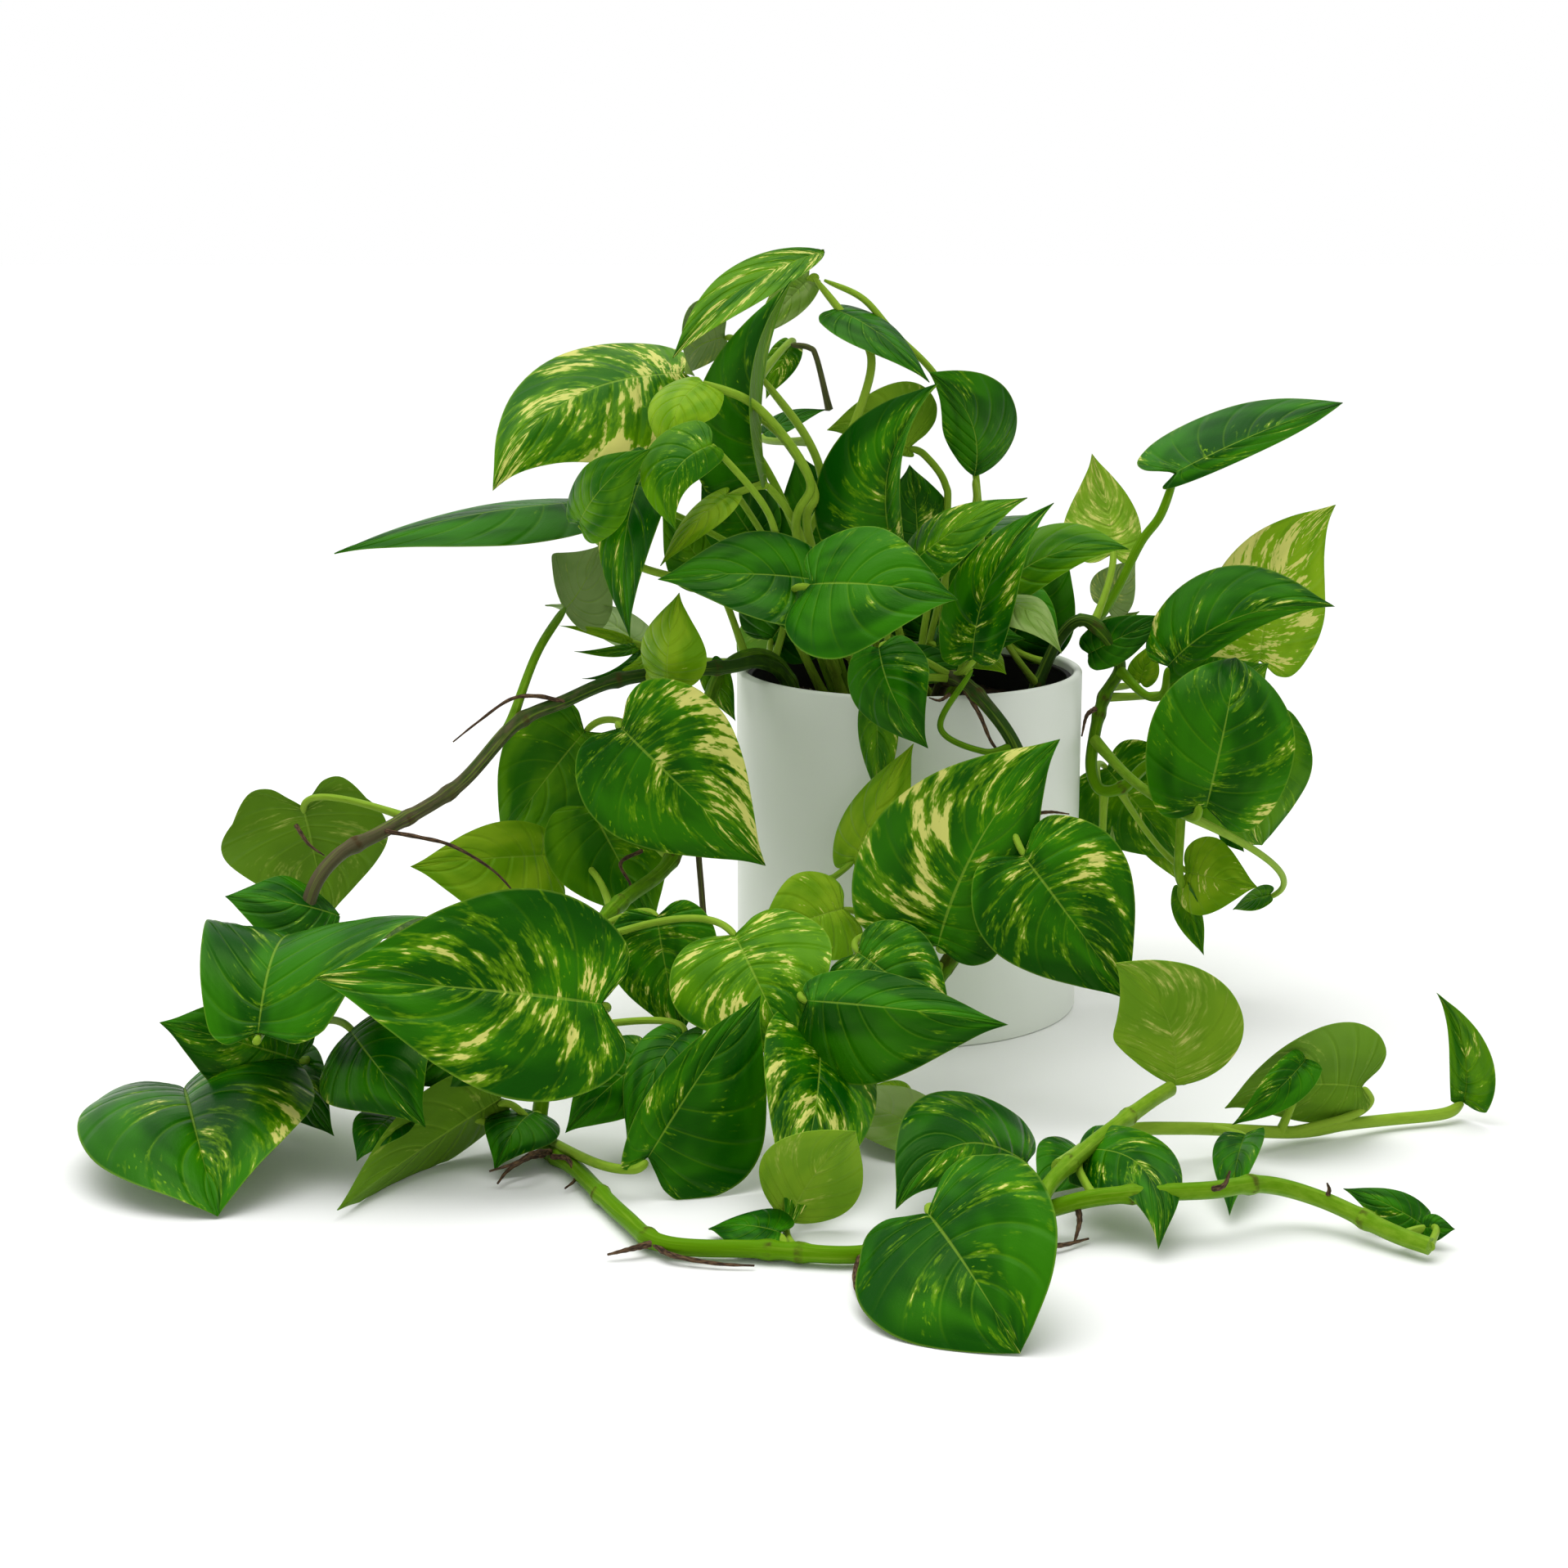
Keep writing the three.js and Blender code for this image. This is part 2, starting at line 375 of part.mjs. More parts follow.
// One point of a leaf: down the midrib, then out along a swept side vein that rises and curls.
function bladePoint(midrib, face, length, u, edge, across, half, widths, rise, curl, twist) {
  const start = u ** 2.2;
  const q = 1 - across;
  const s = q * q * start + 2 * across * q * (start + (edge.x - start) * 0.35) + across * across * edge.x;
  const width = edge.y * widths[half];
  const t = 2 * across * q * width * 0.55 + across * across * width;
  const inside = Math.min(Math.max(s, 0), 1);
  const tangent = midrib.getTangent(inside);
  const point = midrib.getPoint(inside).addScaledVector(tangent, length * Math.min(s, 0));
  const up = face.clone().addScaledVector(tangent, -face.dot(tangent)).normalize();
  up.applyAxisAngle(tangent, THREE.MathUtils.degToRad(-twist) * (inside - 0.5));
  const side = up.clone().cross(tangent).multiplyScalar(half === 0 ? 1 : -1);
  const angle = THREE.MathUtils.degToRad(rise[half]);
  const bend = (THREE.MathUtils.degToRad(curl[half]) || 1e-3) / WIDEST;
  const out = (Math.sin(angle + bend * t) - Math.sin(angle)) / bend;
  const lift = (Math.cos(angle) - Math.cos(angle + bend * t)) / bend;
  return point.addScaledVector(side, length * out).addScaledVector(up, length * lift);
}

// Upward normal at a grid point, from its neighbours.
function gridNormal(rows, i, j) {
  const last = rows.length - 1;
  const wide = rows[0].length - 1;
  const k = Math.min(Math.max(i, 1), last - 1);
  const down = rows[Math.min(k + 1, last)][j].clone().sub(rows[Math.max(k - 1, 0)][j]);
  const over = rows[k][Math.min(j + 1, wide)].clone().sub(rows[k][Math.max(j - 1, 0)]);
  return down.cross(over).normalize();
}

// Moves the rim of a leaf's grid outwards by a margin.
function spread(rows, margin) {
  const push = (p, from) => p.addScaledVector(p.clone().sub(from).normalize(), margin);
  for (const row of rows.slice(1, -1)) {
    push(row[0], row[1]);
    push(row[row.length - 1], row[row.length - 2]);
  }
  const tip = rows[rows.length - 1];
  const before = rows[rows.length - 2][COLUMNS];
  tip.forEach((p) => push(p, before));
}

// A leaf plate of the given thickness round its middle surface.
function leafSolid(leaf, thickness, margin) {
  const rows = bladePoints(leaf);
  spread(rows, margin);
  const last = rows.length - 1;
  const wide = rows[0].length;
  const positions = [];
  const index = [];
  const id = (i, j, level) => {
    if (i === 0) return level;
    if (i === last) return 2 + level;
    return 4 + ((i - 1) * wide + j) * 2 + level;
  };
  const put = (i, j) => {
    const normal = gridNormal(rows, i, j);
    for (const level of [0, 1]) {
      const p = rows[i][j].clone().addScaledVector(normal, (level - 0.5) * thickness);
      positions.push(p.x, p.y, p.z);
    }
  };
  put(0, COLUMNS);
  put(last, COLUMNS);
  for (let i = 1; i < last; i++) for (let j = 0; j < wide; j++) put(i, j);
  const face = (a, b, c) => {
    if (a !== b && b !== c && a !== c) index.push(a, b, c);
  };
  for (let i = 0; i < last; i++) {
    for (let j = 0; j < wide - 1; j++) {
      face(id(i, j, 1), id(i + 1, j, 1), id(i + 1, j + 1, 1));
      face(id(i, j, 1), id(i + 1, j + 1, 1), id(i, j + 1, 1));
      face(id(i, j, 0), id(i + 1, j + 1, 0), id(i + 1, j, 0));
      face(id(i, j, 0), id(i, j + 1, 0), id(i + 1, j + 1, 0));
    }
    for (const [j, flip] of [[0, false], [wide - 1, true]]) {
      const ring = [id(i, j, 0), id(i + 1, j, 0), id(i + 1, j, 1), id(i, j, 1)];
      if (flip) ring.reverse();
      face(ring[0], ring[1], ring[2]);
      face(ring[0], ring[2], ring[3]);
    }
  }
  const geometry = new THREE.BufferGeometry();
  geometry.setAttribute("position", new THREE.Float32BufferAttribute(positions, 3));
  geometry.setIndex(index);
  const solid = solidOf(geometry);
  if (solid.volume() > 0) return solid;
  for (let k = 0; k < index.length; k += 3) [index[k], index[k + 1]] = [index[k + 1], index[k]];
  geometry.setIndex(index);
  return solidOf(geometry);
}

function floorSlab() {
  return solidOf(new THREE.BoxGeometry(1200, 1200, 100).translate(0, 0, -49.8));
}

function addPart(group, name, solid, mat) {
  const mesh = new THREE.Mesh(geometryOf(solid), mat);
  mesh.name = name;
  group.add(mesh);
}

function assemble() {
  const group = new THREE.Group();
  const below = floorSlab();
  const pot = potSolid();
  const taken = [pot];
  addPart(group, "pot", pot, material(0xeef1ee, 0.45));
  const stems = [];
  for (const name of Object.keys(VINES)) {
    let solid = vineSolid(name, 0).subtract(below);
    for (const other of taken) solid = solid.subtract(other);
    const woody = name === "vine_left_high" ? 0x6f6752 : 0x6f9a45;
    addPart(group, name, largest(solid), material(woody, 0.6));
    const reserve = vineSolid(name, GAP);
    taken.push(reserve);
    stems.push(reserve);
  }
  addPart(group, "soil", soilSolid(stems), material(0x1d1712, 0.95));
  for (const leaf of LEAVES) {
    let solid = leafSolid(leaf, BLADE, 0).subtract(below);
    for (const other of taken) solid = solid.subtract(other);
    addPart(group, "leaf_" + leaf[0], largest(solid), material(LEAF_COLOURS[leaf[10]], 0.45));
    taken.push(leafSolid(leaf, BLADE + 2 * GAP, GAP));
  }
  return group;
}

export default assemble();
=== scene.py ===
"""A golden pothos in a plain white pot, with its vines, leaves, aerial roots, potting mix and studio."""
import logging
from dataclasses import dataclass, field
from enum import Enum
from typing import Any

import bpy
import numpy as np
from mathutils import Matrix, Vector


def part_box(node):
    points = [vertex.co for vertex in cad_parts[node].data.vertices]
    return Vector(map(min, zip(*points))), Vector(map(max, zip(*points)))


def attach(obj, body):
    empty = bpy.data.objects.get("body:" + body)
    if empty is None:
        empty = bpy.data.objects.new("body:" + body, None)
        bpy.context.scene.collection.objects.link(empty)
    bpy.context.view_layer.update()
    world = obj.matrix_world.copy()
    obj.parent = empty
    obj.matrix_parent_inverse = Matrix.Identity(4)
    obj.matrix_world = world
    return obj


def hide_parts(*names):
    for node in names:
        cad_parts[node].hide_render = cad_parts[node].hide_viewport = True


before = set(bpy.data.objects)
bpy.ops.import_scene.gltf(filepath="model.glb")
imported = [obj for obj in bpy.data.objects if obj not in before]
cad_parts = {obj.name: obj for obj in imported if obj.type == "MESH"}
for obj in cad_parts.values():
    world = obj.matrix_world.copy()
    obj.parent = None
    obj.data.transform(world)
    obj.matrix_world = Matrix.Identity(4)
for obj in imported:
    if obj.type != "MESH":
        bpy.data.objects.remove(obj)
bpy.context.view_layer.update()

LOG = logging.getLogger("pothos")
MM = 0.001  # the tables below are in millimetres
BODY = "root"
Array = np.ndarray
Point = tuple[float, float, float]
Colour = tuple[float, float, float, float]
Route = list[Point]

# Leaves whose cream lies to one side of the midrib: 1 all to the left, -1 all to the right.
CREAM_SIDE = {"left_hang": 0.65, "crown_big_left": 0.2, "front_right_big": 0.6, "front_big": 0.0}
VEIN_SWEEP = 0.17  # how far along a leaf its side veins run from the midrib to the edge
WIDEST = 0.45  # half width over which a leaf's edge curl is counted, in leaf lengths
LEAF_ROWS = 54  # cells along the midrib
LEAF_COLUMNS = 10  # cells across each half
COLUMN_PACKING = 1.5  # power that draws the columns together near the midrib
SIDE_VEINS = 9  # side veins in each half
LEAF_THICKNESS = 0.5  # mm
LEAF_RELIEF = 0.006  # rise of the panels between side veins, in leaf lengths
RIB_WIDTH = 0.013  # half width of the midrib, in leaf lengths
RIB_GROOVE, RIB_RIDGE = 0.3, 0.7  # mm that the midrib sinks above and stands out below
EDGE_WAVE, WAVE_SPREAD = 0.012, 0.014  # least height of the edge's wave and how much more a leaf may have
WAVES = 1.6  # waves along an edge
VEIN_START = 2.2  # power of u at which a side vein leaves the midrib
VEIN_KNEE = (0.35, 0.55)  # shares of a side vein's run, along and across, at its knee
LEAF_FLOOR = 0.3  # mm above the ground that a leaf keeps
SEAT_LIMIT = 1.5  # mm that a leaf may be shifted to sit on its solid
SEED_STEP, SEED_START = 0.618034, 0.11  # spread the leaves' seeds evenly over 0 to 1
SHOOT_TAPER = 0.92  # radius of a shoot's stalk over the radius given for it
STALK_NEAR = 6  # mm within which a drawn-out petiole already reaches a small leaf
STALK_DOWNHILL = 0.6  # how much a stem higher than a small leaf counts as further from it
PETIOLE_RADIUS, PETIOLE_AGE, PETIOLE_RINGS = 1.35, 0.08, 28
PETIOLE_TUCK = (2.2, 1.25)  # mm that a petiole runs on past a leaf's base, and lies below it
PETIOLE_KNEE = (0.3, 0.08, 0.06)  # how far its knee is back along the leaf, below it and up, in its own reach
NODE_SWELL, NODE_REACH = 0.25, 2.4  # how much a stem swells at a node, and over how many mm
NODE_START, NODE_STEP = 24, 41  # mm along a stem of the nodes that have no petiole


class Cut(Enum):
    """Half outlines of a leaf, as distance along the midrib and half width, in leaf lengths."""

    HEART = ((0, 0), (-0.04, 0.07), (-0.085, 0.16), (-0.08, 0.28), (0.02, 0.4), (0.18, 0.475),
             (0.37, 0.465), (0.57, 0.36), (0.76, 0.2), (0.9, 0.07), (1, 0))
    NARROWING = ((0, 0), (0.02, 0.09), (0.06, 0.19), (0.13, 0.3), (0.24, 0.4), (0.38, 0.45),
                 (0.53, 0.43), (0.68, 0.33), (0.83, 0.18), (0.94, 0.06), (1, 0))
    BROAD = ((0, 0), (-0.04, 0.09), (-0.085, 0.2), (-0.07, 0.33), (0.04, 0.45), (0.2, 0.52),
             (0.4, 0.53), (0.6, 0.47), (0.78, 0.33), (0.92, 0.14), (1, 0))
    TUCKED = ((0, 0), (-0.04, 0.08), (-0.07, 0.17), (0.0, 0.27), (0.2, 0.36), (0.46, 0.43),
              (0.66, 0.49), (0.84, 0.54), (0.95, 0.5), (0.99, 0.26), (1, 0))


# Leaves that aren't hearts: some narrow to the stalk, some are broad to the tip, and one has its tip tucked
# behind.
CUTS: dict[Cut, set[str]] = {
    Cut.NARROWING: {"crown_top", "crown_right_var", "front_light", "right_under_up", "left_behind_top",
                    "left_pale"},
    Cut.BROAD: {"left_floor_heart", "front_lobed", "right_round", "right_behind", "right_top_long"},
    Cut.TUCKED: {"left_gloss"},
}


class Tone(Enum):
    """Greens that the leaves come in."""

    DEEP = "deep"
    MID = "mid"
    LIGHT = "light"
    PALE = "pale"


class Slot(Enum):
    """Material slots of the record; no piece here takes its finish from them."""

    POT = "pot_shell"
    MIX = "potting_mix"
    GREEN = "green_stem"
    WOODY = "woody_stem"
    DARK_LEAF = "leaf_dark"
    MID_LEAF = "leaf_mid"
    PALE_LEAF = "leaf_pale"


SHEEN: Colour = (0.5, 1.0, 0.2, 1.0)  # green cast of the leaves' waxy sheen

# Vines: radius, age of the bark at the start and the end (0 fresh green, 1 grey-brown), centre line.
VINES: dict[str, tuple[float, tuple[float, float], Route]] = {
    # crown_stems' age of 0.7 is painted shade: it darkens the stems inside the pot, where shadow falls,
    # rather than marking older bark.
    "crown_stems": (6, (0.7, 0.7), [(-30, -14, 114), (-24, -10, 124), (-10, -4, 126), (10, -6, 124),
                                      (20, -8, 114)]),
    "vine_left_high": (2.6, (0.6, 1.1), [
        (-44, -20, 112), (-50, -24, 138), (-60, -32, 147), (-72, -42, 147), (-91, -52, 147), (-116, -62, 145),
        (-134, -72, 139), (-152, -82, 132), (-172, -98, 112), (-197, -115, 99), (-213, -127, 92),
        (-222, -136, 78), (-225, -139, 50), (-226, -138, 20), (-226, -132, 4)]),
    "vine_left_low": (2.8, (0.6, 0.2), [
        (-40, 2, 112), (-52, -4, 140), (-66, -12, 146), (-78, -30, 138), (-84, -58, 113), (-88, -75, 91),
        (-96, -90, 78), (-112, -112, 70), (-123, -140, 61), (-131, -168, 37), (-136, -182, 6),
        (-120, -214, 4), (-102, -255, 4), (-88, -277, 4), (-58, -281, 4), (-28, -285, 4), (-1, -271, 4),
        (22, -262, 6), (46, -264, 14), (67, -264, 16), (85, -264, 17), (104, -254, 15), (123, -255, 10),
        (141, -272, 6), (151, -281, 5)]),
    "vine_front": (2.6, (0.95, 0.1), [
        (6, -32, 112), (10, -48, 140), (16, -66, 146), (26, -78, 138), (36, -82, 124), (43, -84, 104),
        (40, -92, 85), (26, -108, 68), (11, -126, 54), (-6, -138, 29), (-22, -148, 6), (0, -181, 5),
        (15, -220, 5), (24, -280, 6), (33, -262, 17), (49, -238, 22), (72, -205, 25), (82, -192, 26)]),
    "vine_right": (2.4, (0.8, 0.3), [
        (42, -12, 112), (52, -6, 134), (60, -4, 151), (68, -8, 160), (77, -8, 155), (85, -5, 141),
        (79, -5, 128), (75, -8, 112), (74, -10, 99), (78, -12, 91), (87, -14, 93), (96, -12, 101),
        (109, -10, 104)]),
    "vine_back": (2.6, (0.6, 0.3), [
        (-10, 34, 112), (-8, 50, 138), (-6, 66, 147), (-4, 79, 138), (-2, 88, 100), (-4, 92, 60),
        (-10, 98, 20), (-16, 112, 5), (-30, 122, 4), (-46, 126, 4)]),
}

# Petioles and side shoots drawn out point by point: the vine they join, radius, age, centre line.
SHOOTS: list[tuple[str, float, float, Route]] = [
    ("crown_stems", 1.7, 0.0, [(-24, -10, 122), (-44, -38, 183), (-34, -34, 214), (-17, -20, 260),
                               (-25, -12, 277), (-39, -5, 295)]),
    ("crown_stems", 1.6, 0.1, [(12, -6, 122), (24, -14, 150), (27, -19, 184), (26, -17, 207), (22, -12, 232),
                               (9, -8, 257), (-8, -7, 274), (-20, -6, 287), (-35, -5, 294)]),
    ("crown_stems", 1.6, 0.1, [(-26, -11, 122), (-42, -44, 190), (-49, -50, 208), (-58, -55, 220)]),
    ("crown_stems", 1.6, 0.2, [(-22, -8, 122), (-46, -40, 199), (-66, -35, 236), (-90, -25, 259)]),
    ("crown_stems", 1.7, 0.0, [(-16, -6, 124), (-41, -42, 197), (-39, -45, 215), (-50, -38, 234),
                               (-61, -30, 243)]),
    ("crown_stems", 1.7, 0.0, [(-12, -5, 124), (-36, -30, 201), (-36, -28, 219), (-43, -26, 236),
                               (-60, -22, 258)]),
    ("crown_stems", 1.5, 0.2, [(-27, -12, 122), (-50, -24, 175), (-86, -20, 200), (-112, -18, 209),
                               (-129, -20, 209)]),
    ("crown_stems", 1.5, 0.1, [(12, -6, 122), (14, -10, 199), (13, -10, 215), (5, -9, 226), (-1, -8, 229)]),
    ("crown_stems", 1.5, 0.0, [(2, -5, 124), (14, -14, 180), (24, -19, 206), (24, -20, 218)]),
    ("vine_left_high", 1.8, 0.3, [(-154, -83, 131), (-146, -56, 154), (-137, -30, 168)]),
    ("vine_left_low", 1.7, 0.1, [(-135, -184, 5), (-113, -222, 10), (-101, -230, 11), (-96, -228, 13)]),
    ("vine_front", 2.3, 0.05, [(38, -250, 19), (60, -212, 17), (87, -196, 13), (128, -178, 5), (148, -170, 5),
                               (166, -162, 4), (186, -156, 4), (194, -151, 6)]),
    ("vine_front", 1.6, 0.0, [(128, -178, 5), (149, -170, 8), (157, -166, 12), (154, -168, 18)]),
    ("vine_left_low", 1.5, 0.1, [(48, -264, 14), (45, -248, 17), (46, -237, 17)]),
    ("vine_right", 2.0, 0.35, [(68, -8, 160), (76, -2, 160), (84, 5, 170), (94, 10, 189), (102, 12, 200),
                               (108, 15, 216)]),
    ("vine_right", 1.8, 0.3, [(85, -6, 139), (94, -16, 131), (100, -24, 133), (101, -28, 144)]),
    ("vine_right", 2.0, 0.2, [(75, -9, 111), (87, -30, 100), (100, -50, 93), (108, -60, 91), (110, -62, 96)]),
]

# Petioles of the smaller leaves that are drawn out point by point: radius, age, centre line.
SMALL_SHOOTS: list[tuple[float, float, Route]] = [
    (1.2, 0.9, [(-33, -10, 244), (-38, -8, 264), (-41, -6, 268), (-48, -4, 269)]),
    (1.8, 0.2, [(109, -12, 104), (110, -16, 83), (110, -14, 59), (113, -10, 49)]),
    (1.6, 0.1, [(-30, -18, 140), (-46, -50, 200), (-41, -55, 221), (-60, -60, 248), (-81, -60, 258)]),
    (1.3, 0.1, [(-30, -20, 140), (-50, -60, 189), (-58, -75, 213), (-77, -85, 237)]),
    (1.5, 0.1, [(-34, -16, 130), (-57, -40, 170), (-107, -40, 186), (-127, -76, 206)]),
    (1.3, 0.2, [(-30, -104, 60), (-37, -110, 77), (-32, -106, 79), (-25, -100, 83)]),
    (1.1, 1.0, [(-82, -44, 124), (-84, -70, 92), (-82, -88, 68), (-80, -96, 48)]),
    (1.2, 0.1, [(151, -281, 5), (155, -272, 7), (154, -262, 3.5)]),
    (1.3, 0.5, [(36, -82, 124), (24, -84, 122), (8, -82, 131), (20, -78, 152)]),
]

